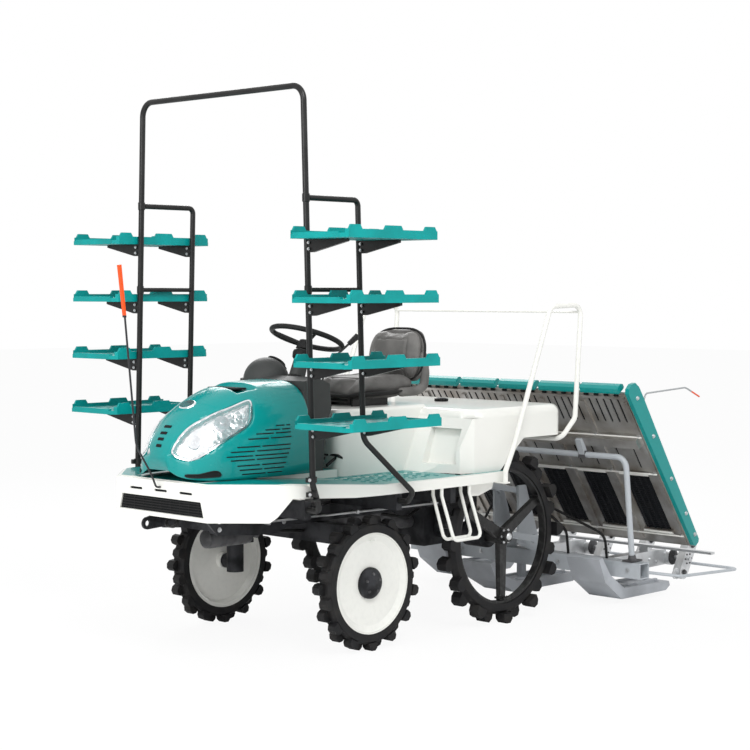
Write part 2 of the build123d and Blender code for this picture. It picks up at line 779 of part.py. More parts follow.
with BuildPart() as seat:
    side_plate(
        (
            (back(318), 1250),
            (back(360), 1234),
            (back(790), 1234),
            (back(836), 1300),
            (back(800), 1330),
            (back(720), 1300),
            (back(360), 1318),
            (back(312), 1290),
        ),
        (-228, 228),
    )
    side_plate(
        (
            (back(790), 1240),
            (back(846), 1300),
            (back(868), 1420),
            (back(856), 1590),
            (back(826), 1606),
            (back(790), 1592),
            (back(760), 1440),
            (back(740), 1300),
        ),
        (-222, 222),
    )
    for side in (1, -1):
        ear = sorted((side * 88, side * 104))
        side_plate(
            (
                (back(SEAT_PIVOT_Y - 18), SEAT_PIVOT_Z - 6),
                (back(SEAT_PIVOT_Y - 8), SEAT_PIVOT_Z - 14),
                (back(SEAT_PIVOT_Y + 8), SEAT_PIVOT_Z - 14),
                (back(SEAT_PIVOT_Y + 18), SEAT_PIVOT_Z - 6),
                (back(SEAT_PIVOT_Y + 26), 1240),
                (back(SEAT_PIVOT_Y - 26), 1260),
            ),
            ear,
        )
    cross_bar((back(SEAT_PIVOT_Y), SEAT_PIVOT_Z), 8 + SHAFT_FIT, (-110, 110), Mode.SUBTRACT)
finish(seat, "seat")


# Hood: one side profile, one plan and one cross-section, cut to their common shape
HOOD_BOTTOM = FLOOR_TOP + RUN_GAP


def hood_solid(inset):
    """The hood's outer form, or the same form moved in by a wall."""
    with BuildPart() as form:
        side_plate(
            (
                (back(-806 + inset), HOOD_BOTTOM - inset),
                (back(HOOD_NOSE + 16 + inset), 945),
                (back(HOOD_NOSE + 6 + inset), 1030 - inset / 2),
                (back(-840 + inset / 2), 1130 - inset / 2),
                (back(-740), 1232 - inset),
                (back(-600), 1298 - inset),
                (back(-420), 1336 - inset),
                (back(HOOD_REAR + inset), HOOD_TOP - inset),
                (back(HOOD_REAR + inset), HOOD_BOTTOM - inset),
            ),
            (-HOOD_HALF_WIDTH, HOOD_HALF_WIDTH),
        )
        with BuildSketch(Plane.XY.offset(HOOD_BOTTOM - 20)):
            with BuildLine():
                half = [
                    (120 - inset / 2, back(HOOD_NOSE + inset)),
                    (220 - inset, back(-800)),
                    (280 - inset, back(-660)),
                    (HOOD_HALF_WIDTH - 6 - inset, back(-480)),
                    (HOOD_HALF_WIDTH - inset, back(-300)),
                    (HOOD_HALF_WIDTH - 6 - inset, back(HOOD_REAR + inset)),
                ]
                Polyline(*half, *[(-x, y) for x, y in reversed(half)], close=True)
            make_face()
        extrude(amount=600, mode=Mode.INTERSECT)
        with BuildSketch(Plane(origin=(0, back(HOOD_REAR + 10), 0), x_dir=(1, 0, 0), z_dir=(0, -1, 0))):
            with BuildLine():
                half = [
                    (HOOD_HALF_WIDTH - inset, HOOD_BOTTOM - 20),
                    (HOOD_HALF_WIDTH - 10 - inset, 1100),
                    (HOOD_HALF_WIDTH - 44 - inset, 1236 - inset / 2),
                    (210 - inset / 2, 1316 - inset),
                    (90, 1350 - inset),
                ]
                Polyline(*half, *[(-x, y) for x, y in reversed(half)], close=True)
            make_face()
        extrude(amount=900, mode=Mode.INTERSECT)
    return form.part


LAMP_INNER_X = 62.0
LAMP_SINK = 4.0
LAMP_DEPTH = 12.0
LAMP_OUTLINE = (
    (-880, 1014),
    (-872, 994),
    (-840, 985),
    (-806, 1004),
    (-691, 1075),
    (-535, 1147),
    (-509, 1176),
    (-474, 1262),
    (-583, 1231),
    (-736, 1174),
    (-800, 1135),
    (-838, 1097),
    (-872, 1041),
)
INTAKE_OUTLINE = ((-870, 925), (-864, 905), (-802, 904), (-703, 909), (-726, 943), (-764, 939), (-818, 922))
NOSE_SLOTS = ((-828, 1129), (-858, 1086), (-876, 1042), (-880, 998))
SLOT_HALF = 4.0
LOUVRE_GAP = 9.0
LOUVRE_ROWS = (
    (1137, -375, -306, -292),
    (1118, -443, -347, -296),
    (1101, -499, -389, -294),
    (1078, -547, -423, -286),
    (1041, -615, -481, -294),
    (1019, -655, -515, -296),
    (997, -681, -527, -308),
    (978, -661, -519, -320),
    (951, -627, -489, -330),
    (930, -615, -477, -343),
    (909, -601, -457, -357),
)


def lamp_prism(side, gap):
    """Returns the prism of one lamp, drawn in by a gap from the opening's edge."""
    with BuildPart() as prism:
        with BuildSketch(Plane.YZ.offset(min(side * (LAMP_INNER_X + gap), side * 340))) as face:
            with BuildLine():
                Polyline(*[(back(y), z) for y, z in LAMP_OUTLINE], close=True)
            make_face()
            if gap:
                offset(amount=-gap, mode=Mode.REPLACE)
        extrude(face.sketch, amount=340 - LAMP_INNER_X - gap)
    return prism.part


with BuildPart() as hood:
    add(hood_solid(0))
    add(hood_solid(PANEL), mode=Mode.SUBTRACT)
    for side in (1, -1):
        add(lamp_prism(side, 0), mode=Mode.SUBTRACT)
        intake = [(back(y), z) for y, z in INTAKE_OUTLINE]
        side_plate(intake, sorted((side * 130, side * 340)), Mode.SUBTRACT)
        for y, z in NOSE_SLOTS:
            slot = (back(y - 34), back(y + 16))
            block(sorted((side * 30, side * 56)), slot, (z - 7, z + 7), Mode.SUBTRACT)
        for height, front, middle, rear in LOUVRE_ROWS:
            for run in ((front, middle - LOUVRE_GAP), (middle + LOUVRE_GAP, rear)):
                if run[1] - run[0] < 4 * SLOT_HALF:
                    continue
                slot = (back(run[0]), back(run[1]))
                flank = sorted((side * 240, side * 340))
                block(flank, slot, (height - SLOT_HALF, height + SLOT_HALF), Mode.SUBTRACT)
    for side in (1, -1):
        side_plate(
            (
                (back(HOOD_HINGE_Y - 40), HOOD_TOP - 4),
                (back(HOOD_HINGE_Y - 10), HOOD_HINGE_Z - 12),
                (back(HOOD_HINGE_Y + 6), HOOD_HINGE_Z - 10),
                (back(HOOD_HINGE_Y + 6), HOOD_TOP - 4),
            ),
            sorted((side * 82, side * 92)),
        )
    cross_bar((back(HOOD_HINGE_Y), HOOD_HINGE_Z), HINGE_PIN + SHAFT_FIT, (-100, 100), Mode.SUBTRACT)
finish(hood, "hood")

# Headlamps set into the hood's two openings
with BuildPart() as headlamps:
    for side in (1, -1):
        lens = hood_solid(LAMP_SINK) - hood_solid(LAMP_SINK + LAMP_DEPTH)
        add(lens.intersect(lamp_prism(side, JOINT_GAP)))
finish(headlamps, "headlamps")

# Spare tray racks: hoop, stays and bars
with BuildPart() as rack_hoop:
    foot = (590, back(-440), RAIL_TOP + OUTRIGGER_HEIGHT / 2)
    left = [
        foot,
        (674, back(-440), RAIL_TOP + OUTRIGGER_HEIGHT / 2),
        (rack_x(880), back(HOOP_Y), 880),
        (rack_x(HOOP_TOP), back(HOOP_Y), HOOP_TOP),
    ]
    right = [(-x, y, z) for x, y, z in reversed(left)]
    tube(left + right, RACK_TUBE, (28, 40, HOOP_BEND, HOOP_BEND, 40, 28))
finish(rack_hoop, "rack_hoop")

with BuildPart() as rack_stays:
    for name, side in SIDES:
        top = rack_x(STAY_TOP)
        path = [
            (side * top, back(HOOP_Y) + RACK_TUBE + JOINT_GAP, STAY_TOP),
            (side * top, back(STAY_Y), STAY_TOP),
            (side * rack_x(1076), back(STAY_Y), 1076),
            (side * 745, back(140), 800),
            (side * 700, back(150), RAIL_TOP + OUTRIGGER_HEIGHT / 2),
            (side * 640, back(150), RAIL_TOP + OUTRIGGER_HEIGHT / 2),
        ]
        tube(path, RACK_TUBE - 1, (30, 90, 30, 30))
        bar_x = side * rack_x(RACK_BAR_Z)
        tube(
            [
                (bar_x, back(HOOP_Y) + RACK_TUBE + JOINT_GAP, RACK_BAR_Z),
                (bar_x, back(STAY_Y), RACK_BAR_Z),
            ],
            RACK_TUBE - 4,
            0,
        )
finish(rack_stays, "rack_stays")

# Tray brackets and trays
TRAY_LIP = 12.0
TRAY_BOSS = 20.0


def tray_form(x, y, level):
    """Adds a moulded tray: a floor on ribs, lips along its sides and bosses where a box is gripped."""
    top = level + TRAY_DEPTH
    bed = level + TRAY_DEPTH / 2
    cut = 26
    with BuildSketch(Plane.XY.offset(level)) as plan:
        with BuildLine():
            Polyline(
                (x[0] + cut, y[0]),
                (x[1] - cut, y[0]),
                (x[1], y[0] + cut),
                (x[1], y[1] - cut),
                (x[1] - cut, y[1]),
                (x[0] + cut, y[1]),
                (x[0], y[1] - cut),
                (x[0], y[0] + cut),
                close=True,
            )
        make_face()
    extrude(plan.sketch, amount=TRAY_DEPTH)
    block((x[0] + TRAY_LIP, x[1] - TRAY_LIP), (y[0] - 1, y[1] + 1), (bed, top + 1), Mode.SUBTRACT)
    middle = (y[0] + y[1]) / 2
    for edge in (x[0] + TRAY_LIP / 2, x[1] - TRAY_LIP / 2):
        for place, half in ((y[0] + 74, 44), (middle, 64), (y[1] - 74, 44)):
            profile = (
                (place - half, top - 2),
                (place - half + 14, top + TRAY_BOSS),
                (place + half - 14, top + TRAY_BOSS),
                (place + half, top - 2),
            )
            side_plate(profile, (edge - TRAY_LIP / 2, edge + TRAY_LIP / 2))
    for place in (y[0] + 10, y[1] - 10):
        block((x[0] + 40, x[1] - 40), (place - 10, place + 10), (bed - 2, bed + 8))
    for share in (0.25, 0.5, 0.75):
        place = y[0] + (y[1] - y[0]) * share
        block((x[0] + 30, x[1] - 30), (place - 22, place + 22), (level - 1, level + 6), Mode.SUBTRACT)


BRACKET_REACH = 262.0
BRACKET_DEPTH = 62.0
tray_centre_y = (HOOP_Y + STAY_Y) / 2
for name, side in SIDES:
    with BuildPart() as tray_brackets:
        for level in TRAY_LEVELS:
            inner_top = rack_x(level) + RACK_TUBE + JOINT_GAP
            inner_low = rack_x(level - BRACKET_DEPTH) + RACK_TUBE + JOINT_GAP
            for post_y in (HOOP_Y, STAY_Y):
                with BuildSketch(Plane(origin=(0, back(post_y) + 9, 0), x_dir=(1, 0, 0), z_dir=(0, -1, 0))):
                    with BuildLine():
                        Polyline(
                            (side * inner_top, level),
                            (side * (inner_top + BRACKET_REACH), level),
                            (side * (inner_top + BRACKET_REACH), level - 14),
                            (side * (inner_low + 30), level - BRACKET_DEPTH),
                            (side * inner_low, level - BRACKET_DEPTH),
                            close=True,
                        )
                    make_face()
                extrude(amount=18)
    finish(tray_brackets, f"tray_brackets_{name}")

    with BuildPart() as trays:
        for level in TRAY_LEVELS:
            inner = rack_x(level) + RACK_TUBE + 6
            x = sorted((side * inner, side * (inner + TRAY_WIDTH)))
            y = (back(tray_centre_y) - TRAY_LENGTH / 2, back(tray_centre_y) + TRAY_LENGTH / 2)
            tray_form(x, y, level)
    finish(trays, f"trays_{name}")

# Hand rails
with BuildPart() as hand_rails:
    rail_x = 702
    left = [
        (734, back(WHEELBASE - 172), FLOOR_BOTTOM),
        (734, back(WHEELBASE - 172), FLOOR_EDGE_TOP + 5),
        (rail_x, back(WHEELBASE - 59), 985),
        (rail_x, back(WHEELBASE + 246), 1722),
        (rail_x, back(WHEELBASE + 518), 1730),
        (rail_x, back(WHEELBASE + 468), 1100),
        (660, back(RAIL_BAR_Y + 10), RAIL_BAR_Z),
        (540, back(RAIL_BAR_Y), RAIL_BAR_Z),
    ]
    right = [(-x, y, z) for x, y, z in reversed(left)]
    tube(left + right, RAIL_TUBE, (30, 60, 60, 60, 60, 60, 60, 60, 60, 60, 60, 60, 60, 30))
    for side in (1, -1):
        foot = (back(WHEELBASE - 194), back(WHEELBASE - 150))
        block(sorted((side * 676, side * 748)), foot, (FLOOR_BOTTOM - 8, FLOOR_BOTTOM))
    cross_bar((back(WHEELBASE + 506), 1690), 7, (-rail_x, rail_x))
finish(hand_rails, "hand_rails")

# Hanging steps
with BuildPart() as steps:
    for side in (1, -1):
        for near, far in ((700, 768), (640, 700)):
            path = [
                (side * near, back(405), FLOOR_BOTTOM),
                (side * near, back(405), FLOOR_BOTTOM - 40),
                (side * far, back(425), 528),
                (side * far, back(640), 528),
                (side * near, back(620), FLOOR_BOTTOM - 40),
                (side * near, back(620), FLOOR_BOTTOM),
            ]
            tube(path, 9, (30, 34, 34, 30))
        for place in (470, 595):
            cross_bar((back(place), 528), 6, sorted((side * 700, side * 768)))
finish(steps, "steps")

# Sighting pole on the centre line
with BuildPart() as sighting_pole:
    tube(
        [
            (0, back(COWL_FRONT) - JOINT_GAP, 850),
            (0, back(COWL_FRONT - 26), 850),
            (0, back(-930), 920),
            (0, back(-1020), 1060),
            (0, back(-1085), 1700),
        ],
        5,
        (20, 60, 120),
    )
    side_plate(
        (
            (back(-1080), 1680),
            (back(-1090), 1680),
            (back(-1122), 1930),
            (back(-1108), 1932),
        ),
        (-9, 9),
    )
finish(sighting_pole, "sighting_pole")

# Lift linkage: a parallelogram with a cylinder on its centre line
link_tilt = -atan2(LINK_DROP, LINK_REACH_Y)
PIN_RADIUS = 13.0
EYE_RADIUS = 27.0
LUG_BAR_RADIUS = 11.0
ROD_EYE_PLAY = 6.0
hitch_y = LINK_PIVOT_Y + LINK_REACH_Y
hitch_low = LINK_LOW_Z - LINK_DROP
hitch_high = LINK_HIGH_Z - LINK_DROP


def link_arm(front, rear, x, depth):
    """Adds a flat link with an eye round each of two (Y, Z) pivots."""
    run = Vector(0, rear[0] - front[0], rear[1] - front[1])
    along = Plane(origin=(x[0], front[0], front[1]), x_dir=run, z_dir=(1, 0, 0))
    with BuildSketch(along) as face:
        with Locations((run.length / 2, 0)):
            Rectangle(run.length, depth)
        Circle(EYE_RADIUS)
        with Locations((run.length, 0)):
            Circle(EYE_RADIUS)
        Circle(PIN_RADIUS + SHAFT_FIT, mode=Mode.SUBTRACT)
        with Locations((run.length, 0)):
            Circle(PIN_RADIUS + SHAFT_FIT, mode=Mode.SUBTRACT)
    extrude(face.sketch, amount=x[1] - x[0])


lower_front = (back(LINK_PIVOT_Y), LINK_LOW_Z)
lower_rear = (back(hitch_y), hitch_low)
lug_y = lower_front[0] + CYLINDER_SEAT * cos(link_tilt)
lug_z = lower_front[1] + CYLINDER_SEAT * sin(link_tilt)
with BuildPart() as lower_link:
    for side in (1, -1):
        link_arm(lower_front, lower_rear, sorted((side * 182, side * 206)), 40)
    cross_bar((lug_y, lug_z), LUG_BAR_RADIUS, (-184, 184))
finish(lower_link, "lower_link")

with BuildPart() as upper_link:
    upper_front = (back(LINK_PIVOT_Y), LINK_HIGH_Z)
    upper_rear = (back(hitch_y), hitch_high)
    for side in (1, -1):
        link_arm(upper_front, upper_rear, sorted((side * 62, side * 80)), 34)
    cross_bar((upper_rear[0] - 70, upper_rear[1] + 14), 10, (-64, 64))
finish(upper_link, "upper_link")

# Lift cylinder and rod
cylinder_top = (back(LINK_PIVOT_Y), CYLINDER_PIN_Z)
reach = Vector(0, lug_y - cylinder_top[0], lug_z - cylinder_top[1])
cylinder_axis = reach.normalized()


def cylinder_plane(distance):
    """Plane across the cylinder at a distance from its upper pin."""
    return Plane(
        origin=Vector(0, cylinder_top[0], cylinder_top[1]) + cylinder_axis * distance,
        x_dir=(1, 0, 0),
        z_dir=cylinder_axis,
    )


BARREL_LENGTH = 280.0
ROD_RADIUS = 12.0
with BuildPart() as cylinder_barrel:
    with BuildSketch(cylinder_plane(16)):
        Circle(30)
    extrude(amount=BARREL_LENGTH - 16)
    with BuildSketch(cylinder_plane(40)):
        Circle(22)
    extrude(amount=BARREL_LENGTH - 60, mode=Mode.SUBTRACT)
    with BuildSketch(cylinder_plane(BARREL_LENGTH - 40)):
        Circle(ROD_RADIUS + SHAFT_FIT)
    extrude(amount=60, mode=Mode.SUBTRACT)
    cross_bar(cylinder_top, 24, (-22, 22))
    cross_bar(cylinder_top, PIN_RADIUS + SHAFT_FIT, (-30, 30), Mode.SUBTRACT)
finish(cylinder_barrel, "cylinder_barrel")

with BuildPart() as cylinder_rod:
    with BuildSketch(cylinder_plane(BARREL_LENGTH - 40)):
        Circle(ROD_RADIUS)
    extrude(amount=reach.length - BARREL_LENGTH + 30)
    with BuildSketch(cylinder_plane(BARREL_LENGTH - 56)):
        Circle(21.5)
    extrude(amount=30)
    cross_bar((lug_y, lug_z), EYE_RADIUS - 3, (-20, 20))
    cross_bar((lug_y, lug_z), LUG_BAR_RADIUS + ROD_EYE_PLAY, (-30, 30), Mode.SUBTRACT)
finish(cylinder_rod, "cylinder_rod")

# Stage slope
STAGE_HALF = 930.0
SHEET = 12.0
run_y = STAGE_FOOT_Y - STAGE_TOP_Y
run_z = STAGE_TOP_Z - STAGE_FOOT_Z
stage_length = hypot(run_y, run_z)
stage_normal = Vector(0, run_z, run_y).normalized()
STAGE_BEAM_Z = 975.0
STAGE_BEAM_DEPTH = 50.0
stage_beam_slope = (STAGE_TOP_Z - STAGE_BEAM_Z) / run_z * stage_length


def stage_point(slope, lift):
    """(Y, Z) of a place down the stage's slope, raised above its sheet."""
    y = back(STAGE_TOP_Y) + slope * run_y / stage_length + lift * stage_normal.Y
    return y, STAGE_TOP_Z - slope * run_z / stage_length + lift * stage_normal.Z


# Planting section frame
BEAM_SIZE = 90.0
BEAM_HALF = 885.0
beam_low = BEAM_Z - BEAM_SIZE / 2
beam_high = BEAM_Z + BEAM_SIZE / 2
POST_X = BEAM_HALF - 85
GUARD_X = BEAM_HALF + 115
POST_TOP = 862.0
with BuildPart() as planting_beam:
    beam_depth = (back(BEAM_Y - BEAM_SIZE / 2), back(BEAM_Y + BEAM_SIZE / 2))
    block((-BEAM_HALF, BEAM_HALF), beam_depth, (beam_low, beam_high))
    block(
        (-BEAM_HALF - 1, BEAM_HALF + 1),
        (back(BEAM_Y - BEAM_SIZE / 2 + 6), back(BEAM_Y + BEAM_SIZE / 2 - 6)),
        (beam_low + 6, beam_high - 6),
        Mode.SUBTRACT,
    )
    for side in (1, -1):
        side_plate(
            (
                (back(hitch_y - 34), hitch_low - 34),
                (back(BEAM_Y - 45), beam_high),
                (back(BEAM_Y + 45), beam_high),
                (back(hitch_y + 34), hitch_high + 34),
                (back(hitch_y - 34), hitch_high + 34),
            ),
            sorted((side * 84, side * 100)),
        )
    cross_bar((back(hitch_y), hitch_low), PIN_RADIUS, (-206, 206))
    cross_bar((back(hitch_y), hitch_high), PIN_RADIUS, (-100, 100))
    tube(
        [
            (POST_X, back(BEAM_Y), beam_high - 3),
            (POST_X, back(BEAM_Y - 70), POST_TOP),
            (-POST_X, back(BEAM_Y - 70), POST_TOP),
            (-POST_X, back(BEAM_Y), beam_high - 3),
        ],
        17,
        60,
    )
    tube(
        [
            (BEAM_HALF - 30, back(BEAM_Y + BEAM_SIZE / 2 - 3), 196),
            (BEAM_HALF - 30, back(BEAM_Y + BEAM_SIZE / 2 + 50), 192),
            (GUARD_X, back(BEAM_Y + 195), 176),
            (GUARD_X, back(BEAM_Y + 800), 150),
            (-GUARD_X, back(BEAM_Y + 800), 150),
            (-GUARD_X, back(BEAM_Y + 195), 176),
            (30 - BEAM_HALF, back(BEAM_Y + BEAM_SIZE / 2 + 50), 192),
            (30 - BEAM_HALF, back(BEAM_Y + BEAM_SIZE / 2 - 3), 196),
        ],
        9,
        (40, 40, 60, 60, 40, 40),
    )
    for side in (1, -1):
        side_plate(
            (
                (back(BEAM_Y - 87), POST_TOP),
                (back(BEAM_Y - 53), POST_TOP),
                stage_point(stage_beam_slope + 34, -SHEET - STAGE_BEAM_DEPTH - JOINT_GAP),
                stage_point(stage_beam_slope - 24, -SHEET - STAGE_BEAM_DEPTH - JOINT_GAP),
                stage_point(stage_beam_slope - 24, -SHEET - STAGE_BEAM_DEPTH - 20),
            ),
            sorted((side * 480, side * 520)),
        )
finish(planting_beam, "planting_beam")

CASE_PITCH = 2 * ROW_PITCH
ROTOR_SHAFT = 12.0
rotor_axis = (back(ROTOR_Y), ROTOR_Z)
with BuildPart() as planting_cases:
    for index in (-1, 0, 1):
        x = index * CASE_PITCH
        side_plate(
            (
                (back(BEAM_Y + BEAM_SIZE / 2), beam_low - 10),
                (back(ROTOR_Y - 20), ROTOR_Z - 44),
                (back(ROTOR_Y - 20), ROTOR_Z + 44),
                (back(ROTOR_Y - 130), beam_high),
                (back(BEAM_Y + BEAM_SIZE / 2), beam_high),
            ),
            (x - 34, x + 34),
        )
        cross_bar(rotor_axis, 50, (x - 66, x + 66))
        cross_bar(rotor_axis, ROTOR_SHAFT + SHAFT_FIT, (x - 70, x + 70), Mode.SUBTRACT)
        block((x - 30, x + 30), (back(STAGE_FOOT_Y - 20), back(STAGE_FOOT_Y + 10)), (beam_high, 286))
    block((-SLIDE_HALF, SLIDE_HALF), (back(STAGE_FOOT_Y - 24), back(STAGE_FOOT_Y + 14)), (286, 300))
finish(planting_cases, "planting_cases")

with BuildPart() as planting_rotors:
    for index in (-1, 0, 1):
        x = index * CASE_PITCH
        cross_bar(rotor_axis, ROTOR_SHAFT, (x - ROW_PITCH / 2 - 40, x + ROW_PITCH / 2 + 40))
        for side in (1, -1):
            centre_x = x + side * ROW_PITCH / 2
            face = Plane(origin=(centre_x - 26, *rotor_axis), x_dir=(0, 0.5, 0.866), z_dir=(1, 0, 0))
            with BuildSketch(face):
                SlotCenterToCenter(176, 84)
            extrude(amount=52)
            for end in (1, -1):
                finger = Plane(
                    origin=(centre_x - 9, *rotor_axis), x_dir=(0, end * 0.5, end * 0.866), z_dir=(1, 0, 0)
                )
                with BuildSketch(finger):
                    with BuildLine():
                        Polyline(
                            (60, -20),
                            (100, -60),
                            (ROTOR_REACH * 0.88, -ROTOR_REACH * 0.42),
                            (120, -30),
                            (110, 20),
                            close=True,
                        )
                    make_face()
                extrude(amount=18)
finish(planting_rotors, "planting_rotors")

# Floats hung from the beam
FLOAT_BOTTOM = 32.0
FLOAT_TABLE = (
    {"x": -600, "half": 118, "nose": BEAM_Y - 203, "tail": BEAM_Y + 495, "lift": 250},
    {"x": 0, "half": 116, "nose": BEAM_Y - 445, "tail": BEAM_Y + 375, "lift": 190},
    {"x": 600, "half": 118, "nose": BEAM_Y - 203, "tail": BEAM_Y + 495, "lift": 250},
)
with BuildPart() as floats:
    for row in FLOAT_TABLE:
        side_plate(
            (
                (back(row["nose"]), FLOAT_BOTTOM + row["lift"]),
                (back(row["nose"] + 60), FLOAT_BOTTOM + row["lift"] * 0.45),
                (back(row["nose"] + 220), FLOAT_BOTTOM),
                (back(row["tail"] - 40), FLOAT_BOTTOM),
                (back(row["tail"]), FLOAT_BOTTOM + 26),
                (back(row["tail"] - 10), FLOAT_BOTTOM + 52),
                (back(row["nose"] + 240), FLOAT_BOTTOM + 64),
                (back(row["nose"] + 110), FLOAT_BOTTOM + row["lift"] * 0.6),
                (back(row["nose"] + 30), FLOAT_BOTTOM + row["lift"] + 10),
            ),
            (row["x"] - row["half"], row["x"] + row["half"]),
        )
        block(
            (row["x"] - 20, row["x"] + 20),
            (back(BEAM_Y - 40), back(BEAM_Y)),
            (FLOAT_BOTTOM + 50, beam_low),
        )
finish(floats, "floats")

# Seedling stage, its lower rail and its trim
def stage_plane(lift):
    """Plane on the stage, X across and Y down the slope, raised above the sheet."""
    origin = Vector(0, back(STAGE_TOP_Y), STAGE_TOP_Z) + stage_normal * lift
    return Plane(origin=origin, x_dir=(1, 0, 0), z_dir=stage_normal)


def stage_block(x, y, z, mode=Mode.ADD):
    """Adds a block on the stage between limits across, down the slope and above it."""
    with BuildSketch(stage_plane(z[0])) as face:
        with Locations(((x[0] + x[1]) / 2, (y[0] + y[1]) / 2)):
            Rectangle(x[1] - x[0], y[1] - y[0])
    extrude(face.sketch, amount=z[1] - z[0], mode=mode)


def stage_plate(outline, x):
    """Adds a plate across X whose outline runs down the slope and above the sheet."""
    side_plate([stage_point(slope, lift) for slope, lift in outline], x)


RIB_HEIGHT = 42.0
BELT_HALF = 88.0
BELT_POCKET = 7.0
belt_top = stage_length * 0.53
belt_end = stage_length * 0.90
with BuildPart() as seedling_stage:
    stage_block((-STAGE_HALF, STAGE_HALF), (0, stage_length), (-SHEET, 0))
    for index in range(ROWS + 1):
        x = (index - ROWS / 2) * ROW_PITCH
        stage_block((x - 5, x + 5), (30, stage_length), (0, RIB_HEIGHT))
        stage_block((x - 14, x + 14), (60, stage_length - 30), (-SHEET - 10, -SHEET))
    for index in range(ROWS):
        x = (index - (ROWS - 1) / 2) * ROW_PITCH
        belt = (x - BELT_HALF, x + BELT_HALF)
        stage_block(belt, (belt_top, belt_end), (-SHEET - 1, BELT_POCKET - SHEET), Mode.SUBTRACT)
        for place in (belt_top - 12, belt_end + 4):
            roller = (x - BELT_HALF - 14, x + BELT_HALF + 14)
            stage_block(roller, (place - 9, place + 9), (-SHEET - 16, -SHEET))
        for shift in (-100, -50, 0, 50, 100):
            notch = (x + shift - 6, x + shift + 6)
            stage_block(notch, (40, 210), (-SHEET - 1, 4 - SHEET), Mode.SUBTRACT)
        for shift in (-62, 62):
            notch = (x + shift - 5, x + shift + 5)
            run = (stage_beam_slope + 60, belt_top - 50)
            stage_block(notch, run, (-SHEET - 1, 4 - SHEET), Mode.SUBTRACT)
    stage_block((20 - STAGE_HALF, STAGE_HALF - 20), (18, 34), (-SHEET - 14, -SHEET))
    stage_block(
        (30 - STAGE_HALF, STAGE_HALF - 30),
        (stage_beam_slope - 30, stage_beam_slope + 30),
        (-SHEET - STAGE_BEAM_DEPTH, -SHEET),
    )
finish(seedling_stage, "seedling_stage")

with BuildPart() as stage_trim:
    for side in (1, -1):
        stage_plate(
            (
                (-6, -26),
                (stage_length - 10, -16),
                (stage_length + 4, -4),
                (stage_length + 4, 30),
                (stage_length - 10, 44),
                (90, 76),
                (20, 76),
                (-22, 60),
                (-34, 30),
                (-28, -8),
            ),
            sorted((side * STAGE_HALF, side * (STAGE_HALF + 26))),
        )
        edge = side * (STAGE_HALF + 13)
        rod_start = stage_point(130, 60)
        tube(
            [
                (edge, rod_start[0], rod_start[1]),
                (edge, rod_start[0] + 30, rod_start[1] + 60),
                (edge, rod_start[0] + 420, rod_start[1] + 78),
                (edge, rod_start[0] + 560, rod_start[1] + 20),
            ],
            5,
            (30, 90),
        )
    for index in range(ROWS):
        x = (index - (ROWS - 1) / 2) * ROW_PITCH
        cap = ((-30, -14), (-38, 6), (-38, 26), (-26, 40), (-6, 40), (0, 30), (0, -20), (-10, -20))
        stage_plate(cap, (x - 134, x + 134))
finish(stage_trim, "stage_trim")
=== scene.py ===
"""Finishes and fine parts of a six-row riding rice transplanter."""

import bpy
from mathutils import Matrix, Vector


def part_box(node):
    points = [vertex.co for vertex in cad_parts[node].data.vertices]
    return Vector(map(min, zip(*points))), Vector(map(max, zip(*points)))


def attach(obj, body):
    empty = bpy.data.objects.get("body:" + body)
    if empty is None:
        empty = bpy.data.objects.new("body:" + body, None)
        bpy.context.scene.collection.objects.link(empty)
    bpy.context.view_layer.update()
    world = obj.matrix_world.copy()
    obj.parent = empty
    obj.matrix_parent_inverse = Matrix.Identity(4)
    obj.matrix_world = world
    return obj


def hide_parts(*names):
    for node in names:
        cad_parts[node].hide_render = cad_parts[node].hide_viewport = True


bl_info = {
    "name": "Riding rice transplanter",
    "version": (1, 0, 0),
    "blender": (4, 5, 0),
    "location": "3D View > Sidebar > Transplanter",
    "description": "Finishes and fine parts of a six-row riding rice transplanter",
    "category": "Add Mesh",
}

from math import atan2, copysign, cos, exp, hypot, pi, radians, sin, tan

import bmesh
import bpy
from mathutils import Matrix, Vector

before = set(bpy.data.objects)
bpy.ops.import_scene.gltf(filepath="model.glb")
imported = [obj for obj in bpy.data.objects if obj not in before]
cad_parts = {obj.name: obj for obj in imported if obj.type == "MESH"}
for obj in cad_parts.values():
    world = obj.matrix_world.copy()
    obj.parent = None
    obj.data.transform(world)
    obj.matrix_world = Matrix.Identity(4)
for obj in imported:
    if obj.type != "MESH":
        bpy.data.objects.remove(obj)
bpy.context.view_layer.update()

SIDES = (("left", 1), ("right", -1))
AXLE_Y = sum(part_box("front_tyre_left")[k][1] for k in (0, 1)) / 2
MM = 0.001
# The wheelbase in millimetres, and the wheels' places in metres
WHEELBASE = 1044.0
FRONT_WHEEL_X = 0.560
FRONT_WHEEL_Z = 0.340
REAR_WHEEL_X = 0.560
REAR_WHEEL_Z = 0.475


def back(distance):
    """Y of a place this many millimetres behind the front axle."""
    return AXLE_Y + distance * MM


# Places that several pieces share: the front grille, the racks' posts and the rotors in metres,
# and the trays' middle in millimetres behind the front axle
GRILLE_Y = back(-872)
RACK_Y = back(-482)
TRAY_MIDDLE = -306.5
ROTOR_Y = back(2525)
ROTOR_Z = 0.210


